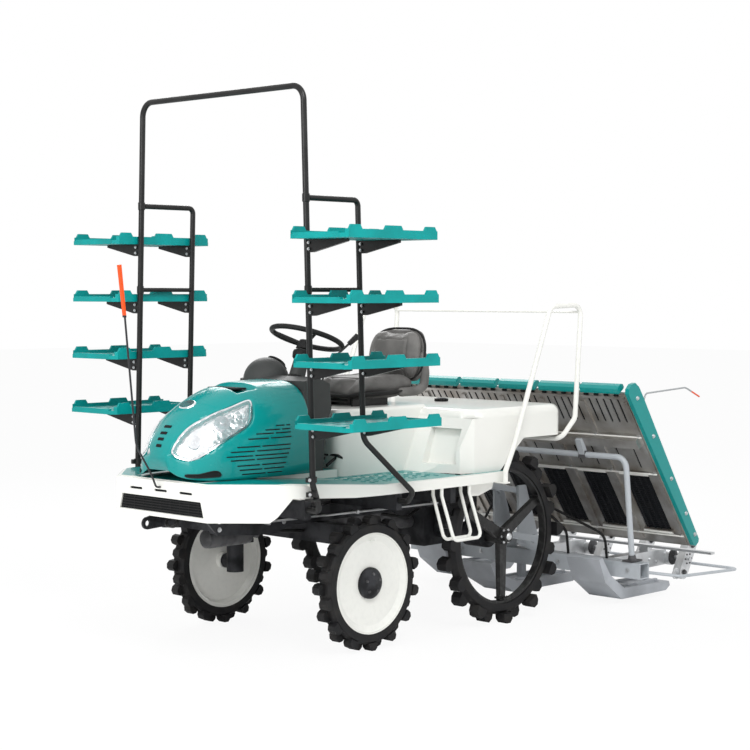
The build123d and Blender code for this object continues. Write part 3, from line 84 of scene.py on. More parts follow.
class Value:
    """A socket whose arithmetic adds Math nodes."""

    def __init__(self, finish, socket):
        self.finish = finish
        self.socket = socket

    def math(self, operation, *others):
        return self.finish.add("ShaderNodeMath", {"operation": operation}, [self, *others])

    def __add__(self, other):
        return self.math("ADD", other)

    __radd__ = __add__

    def __sub__(self, other):
        return self.math("SUBTRACT", other)

    def __rsub__(self, other):
        return self.finish.add("ShaderNodeMath", {"operation": "SUBTRACT"}, [other, self])

    def __mul__(self, other):
        return self.math("MULTIPLY", other)

    __rmul__ = __mul__

    def above(self, edge):
        return self.math("GREATER_THAN", edge)

    def smooth(self, low, high):
        """0 below low, 1 above high, smooth between them."""
        settings = {"interpolation_type": "SMOOTHSTEP"}
        values = {"Value": self, "From Min": low, "From Max": high}
        return self.finish.add("ShaderNodeMapRange", settings, values)


# Specular level of paint, plastic and rubber, and of metal and clear covers
SHEEN = 0.22
GLOSS = 0.5


class Finish:
    """One material: a shader whose sockets take numbers, colours or values."""

    def __init__(self, name, colour, roughness, metallic=0.0, coat=0.0):
        self.material = bpy.data.materials.new(name)
        self.material.use_nodes = True
        self.tree = self.material.node_tree
        self.shader = self.tree.nodes["Principled BSDF"]
        self.material.diffuse_color = (*colour, 1.0)
        self.set("Base Color", (*colour, 1.0))
        self.set("Roughness", roughness)
        self.set("Metallic", metallic)
        self.set("Coat Weight", coat)
        self.set("Specular IOR Level", GLOSS if metallic > 0.5 else SHEEN)

    def feed(self, socket, value):
        if isinstance(value, Value):
            self.tree.links.new(value.socket, socket)
        else:
            socket.default_value = value

    def set(self, name, value):
        self.feed(self.shader.inputs[name], value)

    def add(self, kind, settings=None, values=(), output=0):
        """Adds a node: its settings first, then the values or links of its sockets."""
        node = self.tree.nodes.new(kind)
        for key, setting in (settings or {}).items():
            setattr(node, key, setting)
        pairs = values.items() if isinstance(values, dict) else enumerate(values)
        for key, value in pairs:
            self.feed(node.inputs[key], value)
        return Value(self, node.outputs[output])

    def place(self):
        """The point on the piece, in metres."""
        return self.add("ShaderNodeTexCoord", output="Object")

    def part(self, vector, name):
        """One axis of a vector."""
        split = self.tree.nodes.new("ShaderNodeSeparateXYZ")
        self.feed(split.inputs[0], vector)
        return Value(self, split.outputs[name])

    def axis(self, name):
        """How far the point is along an axis, in metres."""
        return self.part(self.place(), name)

    def upward(self):
        """How far the surface faces up, from -1 to 1."""
        return self.part(self.add("ShaderNodeNewGeometry", output="Normal"), "Z")

    def noise(self, scale, detail=3.0, stretch=None):
        place = self.place()
        if stretch:
            place = self.add("ShaderNodeMapping", {}, {"Vector": place, "Scale": stretch})
        values = {"Vector": place, "Scale": scale, "Detail": detail}
        return self.add("ShaderNodeTexNoise", {}, values)

    def cells(self, scale):
        """Distance from the middles of scattered cells."""
        values = {"Vector": self.place(), "Scale": scale}
        return self.add("ShaderNodeTexVoronoi", {}, values, output="Distance")

    def mix(self, factor, first, second):
        """A colour between two others."""
        node = self.tree.nodes.new("ShaderNodeMix")
        node.data_type = "RGBA"
        for socket, value in ((0, factor), (6, first), (7, second)):
            self.feed(node.inputs[socket], value)
        return Value(self, node.outputs[2])

    def bump(self, height, strength, distance):
        values = {"Strength": strength, "Distance": distance, "Height": height}
        self.set("Normal", self.add("ShaderNodeBump", {}, values))

    def drift(self, tone, colours, gain, roughness):
        """Colour and roughness that change together with a tone."""
        self.set("Base Color", self.mix(tone, *colours))
        self.set("Roughness", tone * gain + roughness)


def shade(colour, factor):
    """A colour made darker or lighter."""
    return tuple(min(1.0, c * factor) for c in colour[:3]) + (1.0,)


def painted(name, colour, roughness, coat, grime):
    """Sprayed or moulded gloss with faint unevenness, and dust that gathers low down."""
    finish = Finish(name, colour, roughness, 0.0, coat)
    patches = finish.noise(9.0, 4.0).smooth(0.35, 0.75)
    low = 1.0 - finish.axis("Z").smooth(0.15, 0.95)
    dust = finish.noise(38.0, 5.0).smooth(0.42, 0.7) * low * grime + patches * 0.06
    dusty = shade([c * 0.6 + 0.12 for c in colour], 1.0)
    finish.drift(dust, ((*colour, 1.0), dusty), 0.35, roughness)
    finish.bump(finish.noise(160.0, 2.0), 0.10, 0.0006)
    return finish.material


def moulded(name, colour, roughness=0.5, grain=420.0, depth=0.25):
    """Moulded plastic with a fine leather-like grain."""
    finish = Finish(name, colour, roughness)
    tone = finish.noise(7.0, 3.0).smooth(0.3, 0.75)
    finish.drift(tone, (shade(colour, 0.9), shade(colour, 1.12)), 0.12, roughness - 0.05)
    finish.bump(finish.cells(grain), depth, 0.0006)
    return finish.material


def tyre_rubber():
    """Black rubber with a dusty bloom and a fine mould texture."""
    finish = Finish("tyre rubber", (0.018, 0.018, 0.019), 0.72)
    bloom = finish.noise(14.0, 6.0).smooth(0.4, 0.72)
    dusty = finish.mix(bloom * 0.6, (0.008, 0.008, 0.009, 1), (0.030, 0.028, 0.026, 1))
    finish.set("Base Color", dusty)
    finish.set("Roughness", bloom * 0.2 + 0.55)
    finish.bump(finish.noise(260.0, 3.0), 0.3, 0.0008)
    return finish.material


def cast_metal(name, colour):
    """Rough cast metal under thin paint, with oily dark patches."""
    finish = Finish(name, colour, 0.6, 0.3)
    patches = finish.noise(11.0, 6.0).smooth(0.4, 0.68)
    finish.drift(patches, ((*colour, 1.0), shade(colour, 0.45)), 0.3, 0.45)
    finish.bump(finish.noise(190.0, 4.0), 0.45, 0.001)
    return finish.material


def zinc_sheet():
    """Brushed sheet metal with cloudy reflections and brownish tarnish."""
    finish = Finish("zinc sheet", (0.42, 0.41, 0.39), 0.34, 0.85)
    streaks = finish.noise(30.0, 4.0, (14.0, 1.0, 1.0))
    clouds = finish.noise(5.0, 5.0).smooth(0.35, 0.7)
    base = finish.mix(clouds, (0.50, 0.49, 0.47, 1), (0.27, 0.235, 0.20, 1))
    bright = streaks.smooth(0.3, 0.7) * 0.25
    finish.set("Base Color", finish.mix(bright, base, (0.58, 0.57, 0.56, 1)))
    finish.set("Roughness", streaks * 0.2 + 0.22)
    finish.bump(streaks, 0.15, 0.0006)
    return finish.material


def bare_steel(name, colour, roughness):
    """Machined or plated steel with fine scratches."""
    finish = Finish(name, colour, roughness, 0.95)
    scratches = finish.noise(90.0, 3.0, (1.0, 6.0, 6.0))
    stains = finish.noise(13.0, 4.0).smooth(0.45, 0.7)
    finish.set("Base Color", finish.mix(stains * 0.5, (*colour, 1.0), shade(colour, 0.55)))
    finish.set("Roughness", scratches * 0.22 + (roughness - 0.08))
    finish.bump(scratches, 0.12, 0.0004)
    return finish.material


def seat_vinyl():
    """Charcoal vinyl with a pebbled grain."""
    finish = Finish("seat vinyl", (0.12, 0.117, 0.112), 0.5)
    wear = finish.noise(8.0, 4.0).smooth(0.4, 0.72)
    finish.drift(wear, ((0.100, 0.097, 0.093, 1), (0.155, 0.150, 0.144, 1)), 0.15, 0.42)
    finish.bump(finish.cells(520.0), 0.35, 0.0008)
    return finish.material


POLE_BLACK = (0.022, 0.022, 0.025)
SIGNAL_ORANGE = (0.80, 0.085, 0.012, 1)


def pole_paint():
    """Black tube paint, orange on the blade at the pole's top."""
    finish = Finish("sighting pole", POLE_BLACK, 0.35, 0.0, 0.2)
    blade = finish.axis("Z").above(1.69)
    finish.set("Base Color", finish.mix(blade, (*POLE_BLACK, 1), SIGNAL_ORANGE))
    finish.set("Roughness", finish.noise(30.0, 3.0) * 0.12 + 0.3)
    return finish.material


def trim_paint(teal):
    """The stage's sides in gloss, with grey marker rods that end in orange."""
    finish = Finish("stage sides", teal, 0.3, 0.0, 0.45)
    along = finish.axis("Y") - back(STAGE_TOP[0])
    rise = finish.axis("Z") - STAGE_TOP[1] * MM
    lift = along * (STAGE_FALL / STAGE_LENGTH) + rise * (STAGE_RUN / STAGE_LENGTH)
    rod = lift.above(0.079)
    tip = rod * along.above(0.600)
    speckle = finish.noise(44.0, 5.0).smooth(0.5, 0.75)
    side = finish.mix(speckle * 0.1, (*teal, 1.0), shade(teal, 0.75))
    grey = finish.mix(rod, side, (0.34, 0.36, 0.37, 1))
    finish.set("Base Color", finish.mix(tip, grey, SIGNAL_ORANGE))
    finish.set("Roughness", speckle * 0.1 + 0.28)
    return finish.material


def clear_lens():
    """Clear lamp cover: mostly see-through, with a hard gloss."""
    finish = Finish("lamp cover", (0.95, 0.97, 1.0), 0.05, 0.0, 1.0)
    finish.set("Specular IOR Level", GLOSS)
    ribs = finish.noise(60.0, 2.0)
    finish.set("Alpha", ribs * 0.06 + 0.16)
    finish.material.surface_render_method = "BLENDED"
    return finish.material


def lamp_mirror():
    """Bright plated reflector with facets."""
    finish = Finish("lamp mirror", (0.86, 0.87, 0.88), 0.12, 1.0)
    facets = finish.cells(34.0)
    finish.set("Roughness", facets * 0.2 + 0.1)
    finish.bump(facets, 0.8, 0.004)
    return finish.material


def floor_paint(teal, white):
    """The platform: white sides and rim, teal where it faces up inside the rim."""
    finish = Finish("platform", teal, 0.35, 0.0, 0.3)
    across = finish.axis("X").math("ABSOLUTE")
    along = finish.axis("Y") - AXLE_Y
    edge = (along + 0.47).smooth(0.0, 0.45) * 0.062 + 0.612
    cut = (along + 0.88) * 2.1 + 0.27
    inside = (edge - across).above(0.0) * (cut - across).above(0.0)
    line = (across - (along * 0.1 + 0.335)).math("ABSOLUTE").above(0.007)
    top = finish.upward().above(0.7) * inside * line
    speckle = finish.noise(44.0, 5.0).smooth(0.5, 0.75)
    tone = finish.mix(speckle * 0.2, (*teal, 1.0), shade(teal, 0.75))
    finish.set("Base Color", finish.mix(top, (*white, 1.0), tone))
    finish.set("Roughness", speckle * 0.15 + 0.33)
    finish.bump(finish.noise(200.0, 2.0), 0.15, 0.0008)
    return finish.material


def colour_property(name, description, default):
    """A colour that the panel shows."""
    return bpy.props.FloatVectorProperty(
        name=name, description=description, subtype="COLOR", default=default
    )


def length_property(name, description, default):
    """A length in metres that the panel shows."""
    return bpy.props.FloatProperty(
        name=name, description=description, default=default, unit="LENGTH"
    )


class TransplanterColours(bpy.types.PropertyGroup):
    """Colours of the main finishes."""

    teal: colour_property("Teal", "Hood, stage sides and floor", (0.0, 0.255, 0.245))
    white: colour_property("White", "Cowl, seat base, rails", (0.80, 0.80, 0.76))
    tray: colour_property("Tray teal", "Spare trays", (0.0, 0.27, 0.262))
    charcoal: colour_property("Charcoal", "Dashboard and column", (0.052, 0.054, 0.053))


class TransplanterSizes(bpy.types.PropertyGroup):
    """Sizes of the fine parts."""

    slot_depth: length_property("Louvre lip", "How far a louvre's lip stands out", 0.004)
    bolt: length_property("Bolt", "Radius of a bolt's head", 0.009)


FINISHES = {}


def make_finishes(colours):
    teal = tuple(colours.teal)
    white = tuple(colours.white)
    charcoal = tuple(colours.charcoal)
    FINISHES.update(
        {
            "teal": painted("teal gloss", teal, 0.26, 0.3, 0.1),
            "white": painted("white gloss", white, 0.3, 0.4, 0.15),
            "tray": moulded("tray plastic", tuple(colours.tray), 0.42, 300.0, 0.12),
            "charcoal": moulded("charcoal plastic", charcoal, 0.48),
            "black paint": painted("black tube paint", (0.010, 0.010, 0.010), 0.35, 0.12, 0.2),
            "black plastic": moulded("black plastic", (0.012, 0.012, 0.012), 0.55),
            # Near-black sheets and blocks in slots, drains, intakes and behind the grille: painted
            # shade where the openings are dark
            "dark void": moulded("dark mesh", (0.008, 0.009, 0.010), 0.8),
            "tyre": tyre_rubber(),
            "cast": cast_metal("cast metal", (0.12, 0.12, 0.125)),
            "frame": cast_metal("frame paint", (0.035, 0.036, 0.04)),
            "sheet": zinc_sheet(),
            "steel": bare_steel("bright steel", (0.62, 0.63, 0.64), 0.35),
            "chrome": bare_steel("chromed rod", (0.85, 0.86, 0.88), 0.12),
            "vinyl": seat_vinyl(),
            "pole": pole_paint(),
            "trim": trim_paint(teal),
            "lens": clear_lens(),
            "mirror": lamp_mirror(),
            "platform": floor_paint(teal, white),
            "float": moulded("float plastic", (0.42, 0.44, 0.47), 0.4, 200.0, 0.1),
            "grey paint": painted("grey paint", (0.46, 0.49, 0.52), 0.35, 0.2, 0.3),
            "red": moulded("red plastic", (0.5, 0.01, 0.015), 0.35),
            "belt": moulded("belt rubber", (0.007, 0.008, 0.010), 0.42, 90.0, 0.4),
        }
    )


FINISH_NODES = {
    "tyre": "front_tyre rear_tyre",
    "white": "front_disc front_cowl seat_base hand_rails steps",
    "black paint": "rear_spokes control_lever seat_bracket rack_hoop rack_stays tray_brackets"
    " cylinder_barrel",
    "frame": "knuckle chassis_frame front_axle rear_axle",
    "cast": "gearbox engine",
    "platform": "floor",
    "charcoal": "dashboard steering_column",
    "black plastic": "steering_wheel",
    "vinyl": "seat",
    "teal": "hood",
    "mirror": "headlamps",
    "tray": "trays",
    "pole": "sighting_pole",
    "grey paint": "lower_link upper_link planting_beam",
    "chrome": "cylinder_rod",
    "steel": "planting_cases planting_rotors",
    "float": "floats",
    "sheet": "seedling_stage",
    "trim": "stage_trim",
}
NODE_FINISH = {node: finish for finish, nodes in FINISH_NODES.items() for node in nodes.split()}

# The record's slot for each finish that a new piece has
SLOTS = {
    "teal": "body_teal",
    "tray": "tray_teal",
    "white": "rail_white",
    "float": "float_grey",
    "vinyl": "seat_vinyl",
    "mirror": "lamp_lens",
    "belt": "tyre_rubber",
    "black paint": "rack_black",
    **dict.fromkeys(("cast", "frame"), "cast_grey"),
    **dict.fromkeys(("steel", "chrome", "lens"), "chrome_rod"),
    **dict.fromkeys(("black plastic", "charcoal", "dark void", "red"), "dark_plastic"),
}


def dress_nodes():
    """Gives every solid of the frame its finish."""
    for name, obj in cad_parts.items():
        key = name.replace("_left", "").replace("_right", "")
        obj.data.materials.clear()
        obj.data.materials.append(FINISHES[NODE_FINISH[key]])


VOXEL = 0.006
PRESSURE = 4.0
SWELL_STEPS = 20
SWELL_CAP = 0.022
CREASE_PASSES = 14


def swell(obj, channels):
    """Swells a closed cushion under inner pressure, then sinks its sewn channels."""
    bpy.context.view_layer.objects.active = obj
    remesh = obj.modifiers.new("remesh", "REMESH")
    remesh.mode = "VOXEL"
    remesh.voxel_size = VOXEL
    bpy.ops.object.modifier_apply(modifier=remesh.name)
    rest = [vert.co.copy() for vert in obj.data.vertices]
    cloth = obj.modifiers.new("cloth", "CLOTH")
    cloth.settings.use_pressure = True
    cloth.settings.uniform_pressure_force = PRESSURE
    cloth.settings.effector_weights.gravity = 0.0
    cloth.point_cache.frame_start = 1
    cloth.point_cache.frame_end = SWELL_STEPS
    for step in range(1, SWELL_STEPS + 1):
        bpy.context.scene.frame_set(step)
    bpy.ops.object.modifier_apply(modifier=cloth.name)
    bpy.context.scene.frame_set(1)
    for vert, start in zip(obj.data.vertices, rest):
        move = vert.co - start
        if move.length > SWELL_CAP:
            vert.co = start + move * (SWELL_CAP / move.length)
    skin = bmesh.new()
    skin.from_mesh(obj.data)
    axes = {"use_axis_x": True, "use_axis_y": True, "use_axis_z": True}
    for _ in range(CREASE_PASSES):
        bmesh.ops.smooth_vert(skin, verts=skin.verts, factor=0.5, **axes)
    skin.to_mesh(obj.data)
    skin.free()
    normals = [vert.normal.copy() for vert in obj.data.vertices]
    for vert, normal, start in zip(obj.data.vertices, normals, rest):
        vert.co -= normal * channels(start)


def new_piece(
    name, bm, finish, body, slot=None, bevel=0.0, subdivide=0, angle=40.0, channels=None
):
    """Turns a bmesh into a finished piece that rides on a body.

    The slot argument is not used. One with channels is a soft pad.
    """
    bmesh.ops.recalc_face_normals(bm, faces=bm.faces)
    mesh = bpy.data.meshes.new(name)
    bm.to_mesh(mesh)
    bm.free()
    obj = bpy.data.objects.new(name, mesh)
    bpy.context.scene.collection.objects.link(obj)
    if channels:
        swell(obj, channels)
        mesh = obj.data
    mesh.materials.clear()
    mesh.materials.append(FINISHES[finish])
    mesh.shade_smooth()
    mesh.set_sharp_from_angle(angle=radians(angle))
    if bevel:
        edge = obj.modifiers.new("edge", "BEVEL")
        edge.width = bevel
        edge.segments = 2
        edge.limit_method = "ANGLE"
    if subdivide:
        smooth = obj.modifiers.new("smooth", "SUBSURF")
        smooth.levels = subdivide
        smooth.render_levels = subdivide
    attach(obj, body)
    return obj


def turn_to(direction):
    """Rotation that takes +Z to a direction."""
    return Vector((0, 0, 1)).rotation_difference(Vector(direction)).to_matrix().to_4x4()


def facing(centre, direction):
    """Placement at a point, with +Z turned to a direction."""
    return Matrix.Translation(Vector(centre)) @ turn_to(direction)


def spoke(angle):
    """The direction at an angle round a wheel."""
    return Vector((0, cos(angle), sin(angle)))


def join_rings(bm, first, second):
    """Faces between two closed rings of points."""
    count = len(first)
    for step in range(count):
        after = (step + 1) % count
        bm.faces.new((first[step], first[after], second[after], second[step]))


def extrude(bm, faces, step):
    """Extrudes faces along a vector."""
    grown = bmesh.ops.extrude_face_region(bm, geom=faces)
    fresh = [item for item in grown["geom"] if isinstance(item, bmesh.types.BMVert)]
    bmesh.ops.translate(bm, verts=fresh, vec=step)


def add_block(bm, low, high, rotation=None):
    """A box between two corners, turned about its own centre."""
    centre = (Vector(low) + Vector(high)) / 2
    size = Vector(high) - Vector(low)
    turn = Matrix.Translation(centre) @ (rotation or Matrix.Identity(4))
    bmesh.ops.create_cube(bm, size=1.0, matrix=turn @ Matrix.Diagonal((*size, 1.0)))


def add_rod(bm, start, end, radius, tip=None, segments=18):
    """A round bar between two points, with an end radius of its own if given."""
    start = Vector(start)
    run = Vector(end) - start
    bmesh.ops.create_cone(
        bm,
        cap_ends=True,
        segments=segments,
        radius1=radius,
        radius2=radius if tip is None else tip,
        depth=run.length,
        matrix=facing(start + run / 2, run),
    )


def add_bolt(bm, centre, direction, radius):
    """A hexagon head on a washer."""
    centre = Vector(centre)
    direction = Vector(direction).normalized()
    add_rod(bm, centre, centre + direction * radius * 0.25, radius * 1.35, segments=16)
    add_rod(bm, centre, centre + direction * radius * 0.95, radius, segments=6)


def add_plate(bm, points, thickness):
    """A flat plate: an outline in space and the vector it is extruded along."""
    extrude(bm, [bm.faces.new([bm.verts.new(point) for point in points])], thickness)


def add_lathe(bm, profile, centre, axis, steps=48):
    """A profile of (radius, along) pairs turned about an axis."""
    kept = set(bm.verts)
    verts = [bm.verts.new(Vector((r, 0, h))) for r, h in profile]
    edges = [bm.edges.new(pair) for pair in zip(verts, verts[1:])]
    turn = {"axis": (0, 0, 1), "cent": (0, 0, 0), "angle": 2 * pi, "steps": steps}
    bmesh.ops.spin(bm, geom=verts + edges, use_merge=True, **turn)
    fresh = [v for v in bm.verts if v not in kept]
    bmesh.ops.transform(bm, matrix=facing(centre, axis), verts=fresh)


def add_tube(bm, points, radius, segments=12, closed=False):
    """A tube that follows points, with mitred joints."""
    points = [Vector(p) for p in points]
    loops = []
    count = len(points)
    guide = None
    for index, point in enumerate(points):
        ahead = points[(index + 1) % count] if closed or index + 1 < count else point
        behind = points[index - 1] if closed or index else point
        direction = (ahead - behind).normalized()
        if guide is None:
            guide = direction.orthogonal().normalized()
        guide = (guide - direction * guide.dot(direction)).normalized()
        side = direction.cross(guide)
        ring = []
        for step in range(segments):
            angle = 2 * pi * step / segments
            ring.append(bm.verts.new(point + (guide * cos(angle) + side * sin(angle)) * radius))
        loops.append(ring)
    for first, second in zip(loops, loops[1:]):
        join_rings(bm, first, second)
    if closed:
        join_rings(bm, loops[-1], loops[0])
    else:
        bm.faces.new(loops[0][::-1])
        bm.faces.new(loops[-1])


def rounded_route(points, radius, steps=6):
    """Points along straight runs with their corners rounded."""
    points = [Vector(p) for p in points]
    route = [points[0]]
    for before, corner, after in zip(points, points[1:], points[2:]):
        arm_in = (before - corner).normalized()
        arm_out = (after - corner).normalized()
        slope = max(0.05, abs(tan(arm_in.angle(arm_out) / 2)))
        shorter = min((before - corner).length, (after - corner).length)
        reach = min(radius / slope, 0.45 * shorter)
        for step in range(steps + 1):
            share = step / steps
            first = corner + arm_in * reach * (1 - share)
            second = corner + arm_out * reach * share
            route.append(first.lerp(second, share))
    route.append(points[-1])
    return route


def add_hose(bm, points, bend, steps, radius, segments):
    """A tube through (x, distance behind the front axle, z) points, its corners rounded."""
    route = [(x, back(distance), z) for x, distance, z in points]
    add_tube(bm, rounded_route(route, bend, steps), radius, segments)


# The hood's outer surface along its length: half-width, top, bottom and squareness
HOOD_NOSE = -886.0
HOOD_REAR = -150.0
HOOD_TABLE = (
    {"y": -886, "half": 80, "top": 1032, "low": 935, "bulge": 2.1},
    {"y": -872, "half": 136, "top": 1076, "low": 910, "bulge": 2.15},
    {"y": -830, "half": 205, "top": 1134, "low": 895, "bulge": 2.0},
    {"y": -740, "half": 268, "top": 1221, "low": 890, "bulge": 2.02},
    {"y": -600, "half": 296, "top": 1296, "low": 889, "bulge": 2.15},
    {"y": -420, "half": 315, "top": 1340, "low": 889, "bulge": 2.7},
    {"y": -150, "half": 317, "top": 1352, "low": 889, "bulge": 3.4},
)


def hood_value(y, key):
    """A smooth value from the hood's table at a place along it."""
    last = len(HOOD_TABLE) - 1
    index = next((k for k in range(last) if y <= HOOD_TABLE[k + 1]["y"]), last - 1)
    before, first, second, after = (
        HOOD_TABLE[min(last, max(0, k))] for k in range(index - 1, index + 3)
    )
    span = second["y"] - first["y"]
    share = (y - first["y"]) / span
    slope_in = (second[key] - before[key]) / (second["y"] - before["y"]) * span
    slope_out = (after[key] - first[key]) / (after["y"] - first["y"]) * span
    s2 = share * share
    s3 = s2 * share
    return (
        first[key] * (2 * s3 - 3 * s2 + 1)
        + slope_in * (s3 - 2 * s2 + share)
        + second[key] * (3 * s2 - 2 * s3)
        + slope_out * (s3 - s2)
    )


def hood_point(y, turn, lift=0.0):
    """A point of the hood's surface, y behind the axle in millimetres.

    Turn goes from 0 low on the left over 1 at the crest to 2 low on the right.
    """
    side = 1 if turn <= 1 else -1
    angle = (turn if turn <= 1 else 2 - turn) * pi / 2
    half, top, low, bulge = (hood_value(y, key) for key in ("half", "top", "low", "bulge"))
    x = half * max(0.0, cos(angle)) ** (2.0 / bulge)
    z = low + (top - low) * max(0.0, sin(angle)) ** (2.0 / bulge)
    point = Vector((side * x * MM, back(y), z * MM))
    if lift:
        point += hood_normal(y, turn) * lift
    return point


def hood_normal(y, turn):
    """The outward direction at a point of the hood."""
    y = min(max(y, HOOD_NOSE + 3), HOOD_REAR - 3)
    turn = min(max(turn, 0.02), 1.98)
    along = hood_point(y + 2, turn) - hood_point(y - 2, turn)
    around = hood_point(y, turn + 0.01) - hood_point(y, turn - 0.01)
    return along.cross(around).normalized()


# Places of one lamp's corners as (y, turn), and the room that they take
LAMP_OUTLINE = (
    (-876, 0.50),
    (-870, 0.34),
    (-842, 0.25),
    (-804, 0.27),
    (-687, 0.33),
    (-529, 0.37),
    (-503, 0.41),
    (-467, 0.59),
    (-476, 0.61),
    (-575, 0.60),
    (-732, 0.64),
    (-796, 0.68),
    (-836, 0.67),
    (-868, 0.57),
)
LAMP_RUN = (-884, -455)
LAMP_TURN = (0.20, 0.72)
LAMP_GRID = (60, 44)
LAMP_CROWN = 0.006
LAMP_SINK = 0.032
LAMP_EDGE = 12
# The frame's half-width, lift off the skin and thickness
FRAME_SIZES = (0.004, -0.002, 0.005)
# How many millimetres one unit of turn counts as
TURN_REACH = 600.0

# Rows and columns of the skin, and how much closer its rows are at the nose
SHELL_GRID = (110, 96)
NOSE_CROWDING = 1.25
# The scoop on the crest: its middle, half-sizes along and round, edge and depth
SCOOP_Y = -440
SCOOP_HALF = (46.0, 0.20)
SCOOP_EDGE = 1.35
SCOOP_SINK = 0.03


def on_side(turn, side):
    """A turn on the hood's left half, or its mirror image on the right."""
    return turn if side > 0 else 2 - turn


def lamp_share(y, turn, outline):
    """Signed distance to a lamp's outline in the hood's own coordinates, positive inside."""
    spot = Vector((y, turn * TURN_REACH))
    corners = [Vector((place, around * TURN_REACH)) for place, around in outline]
    inside = False
    nearest = 1e9
    for a, b in zip(corners, corners[1:] + corners[:1]):
        level = (a.y > spot.y) != (b.y > spot.y)
        if level and spot.x < (b.x - a.x) * (spot.y - a.y) / (b.y - a.y) + a.x:
            inside = not inside
        along = min(1.0, max(0.0, (spot - a).dot(b - a) / (b - a).length_squared))
        nearest = min(nearest, (a + (b - a) * along - spot).length)
    return nearest if inside else -nearest


def ease(share):
    """A share held between 0 and 1, with a soft start and end."""
    share = min(1.0, max(0.0, share))
    return share * share * (3 - 2 * share)


def hood_shell(outline):
    """The hood's skin, hollowed where the lamps and the scoop sit."""
    bm = bmesh.new()
    rows, columns = SHELL_GRID
    loops = []
    for row in range(rows + 1):
        y = HOOD_NOSE + (HOOD_REAR - HOOD_NOSE) * (row / rows) ** NOSE_CROWDING
        loop = []
        for column in range(columns + 1):
            turn = 2.0 * column / columns
            point = hood_point(y, turn)
            depth = lamp_share(y, min(turn, 2 - turn), outline)
            if depth > -LAMP_EDGE:
                sink = LAMP_SINK * ease((depth + LAMP_EDGE) / (2 * LAMP_EDGE))
                point -= hood_normal(y, turn) * sink
            scoop = max(abs(y - SCOOP_Y) / SCOOP_HALF[0], abs(turn - 1.0) / SCOOP_HALF[1])
            point.z -= SCOOP_SINK * ease((SCOOP_EDGE - scoop) / 0.5)
            loop.append(bm.verts.new(point))
        loops.append(loop)
    strips = [[bm.edges.new(pair) for pair in zip(loop, loop[1:])] for loop in loops]
    for first, second in zip(strips, strips[1:]):
        bmesh.ops.bridge_loops(bm, edges=first + second)
    bmesh.ops.triangulate(bm, faces=[bm.faces.new(loops[0])])
    return bm


def lamp_patch(lift, spread, side):
    """A patch inside a lamp's outline, lifted off the hood and crowned over a spread."""
    bm = bmesh.new()
    rows, columns = LAMP_GRID
    grid = {}
    for row in range(rows + 1):
        y = LAMP_RUN[0] + (LAMP_RUN[1] - LAMP_RUN[0]) * row / rows
        for column in range(columns + 1):
            turn = LAMP_TURN[0] + (LAMP_TURN[1] - LAMP_TURN[0]) * column / columns
            depth = lamp_share(y, turn, LAMP_OUTLINE)
            if depth >= 0:
                rise = LAMP_CROWN * min(1.0, depth / spread) ** 0.5
                point = hood_point(y, on_side(turn, side), lift + rise)
                grid[row, column] = bm.verts.new(point)
    for row, column in list(grid):
        keys = ((row, column), (row + 1, column), (row + 1, column + 1), (row, column + 1))
        corners = [grid.get(key) for key in keys]
        if all(corners):
            bm.faces.new(corners)
    return bm


def lamp_frame(outline, side):
    """A raised strip along a lamp's outline."""
    bm = bmesh.new()
    half, lift, thickness = FRAME_SIZES
    places = [(y, on_side(turn, side)) for y, turn in outline]
    centres = [hood_point(*place, lift) for place in places]
    loops = []
    for index, (centre, place) in enumerate(zip(centres, places)):
        normal = hood_normal(*place)
        run = centres[(index + 1) % len(centres)] - centres[index - 1]
        across = run.normalized().cross(normal).normalized() * half
        out = normal * thickness
        corners = (centre - across, centre - across + out, centre + across + out, centre + across)
        loops.append([bm.verts.new(corner) for corner in corners])
    for loop, following in zip(loops, loops[1:] + loops[:1]):
        join_rings(bm, loop, following)
    return bm


def dense_outline(outline, step=14.0, reach=TURN_REACH):
    """An outline with its sides divided and its corners eased."""
    dense = []
    for (y1, t1), (y2, t2) in zip(outline, outline[1:] + outline[:1]):
        pieces = max(2, int(hypot(y2 - y1, (t2 - t1) * reach) / step))
        dense += [(y1 + (y2 - y1) * k / pieces, t1 + (t2 - t1) * k / pieces) for k in range(pieces)]
    for _ in range(3):
        threes = zip(dense[-1:] + dense[:-1], dense, dense[1:] + dense[:1])
        dense = [tuple((a + 2 * b + c) / 4 for a, b, c in zip(*three)) for three in threes]
    return dense


def make_hood(sizes):
    """Hood skin, lamps, louvres, side intakes and nose fittings."""
    outline = dense_outline(LAMP_OUTLINE)
    skin = new_piece("hood_skin", hood_shell(outline), "teal", "hood", angle=50)
    wall = skin.modifiers.new("wall", "SOLIDIFY")
    wall.thickness = 0.004
    wall.offset = -1
    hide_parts("hood")
    for name, side in SIDES:
        mirror = lamp_patch(-0.024, 30.0, side)
        reflector = new_piece(f"lamp_mirror_{name}", mirror, "mirror", "hood", angle=60)
        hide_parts("headlamps")
        lens = lamp_patch(0.001, 45.0, side)
        new_piece(f"lamp_cover_{name}", lens, "lens", "hood", angle=60)
        new_piece(f"lamp_frame_{name}", lamp_frame(outline, side), "chrome", "hood")
        bulbs = bmesh.new()
        for y, turn, size in ((-800, 0.47, 0.034), (-650, 0.50, 0.040)):
            centre = hood_point(y, on_side(turn, side), -0.018)
            out = hood_normal(y, on_side(turn, side))
            add_rod(bulbs, centre, centre + out * 0.014, size * 0.55, size, 28)
            start, end = centre + out * 0.004, centre + out * 0.019
            add_rod(bulbs, start, end, size * 0.3, size * 0.22, 20)
        new_piece(f"lamp_bulbs_{name}", bulbs, "chrome", "hood", bevel=0.001)
        make_louvres(name, side, sizes.slot_depth)
        make_intake(name, side)
    make_nose()


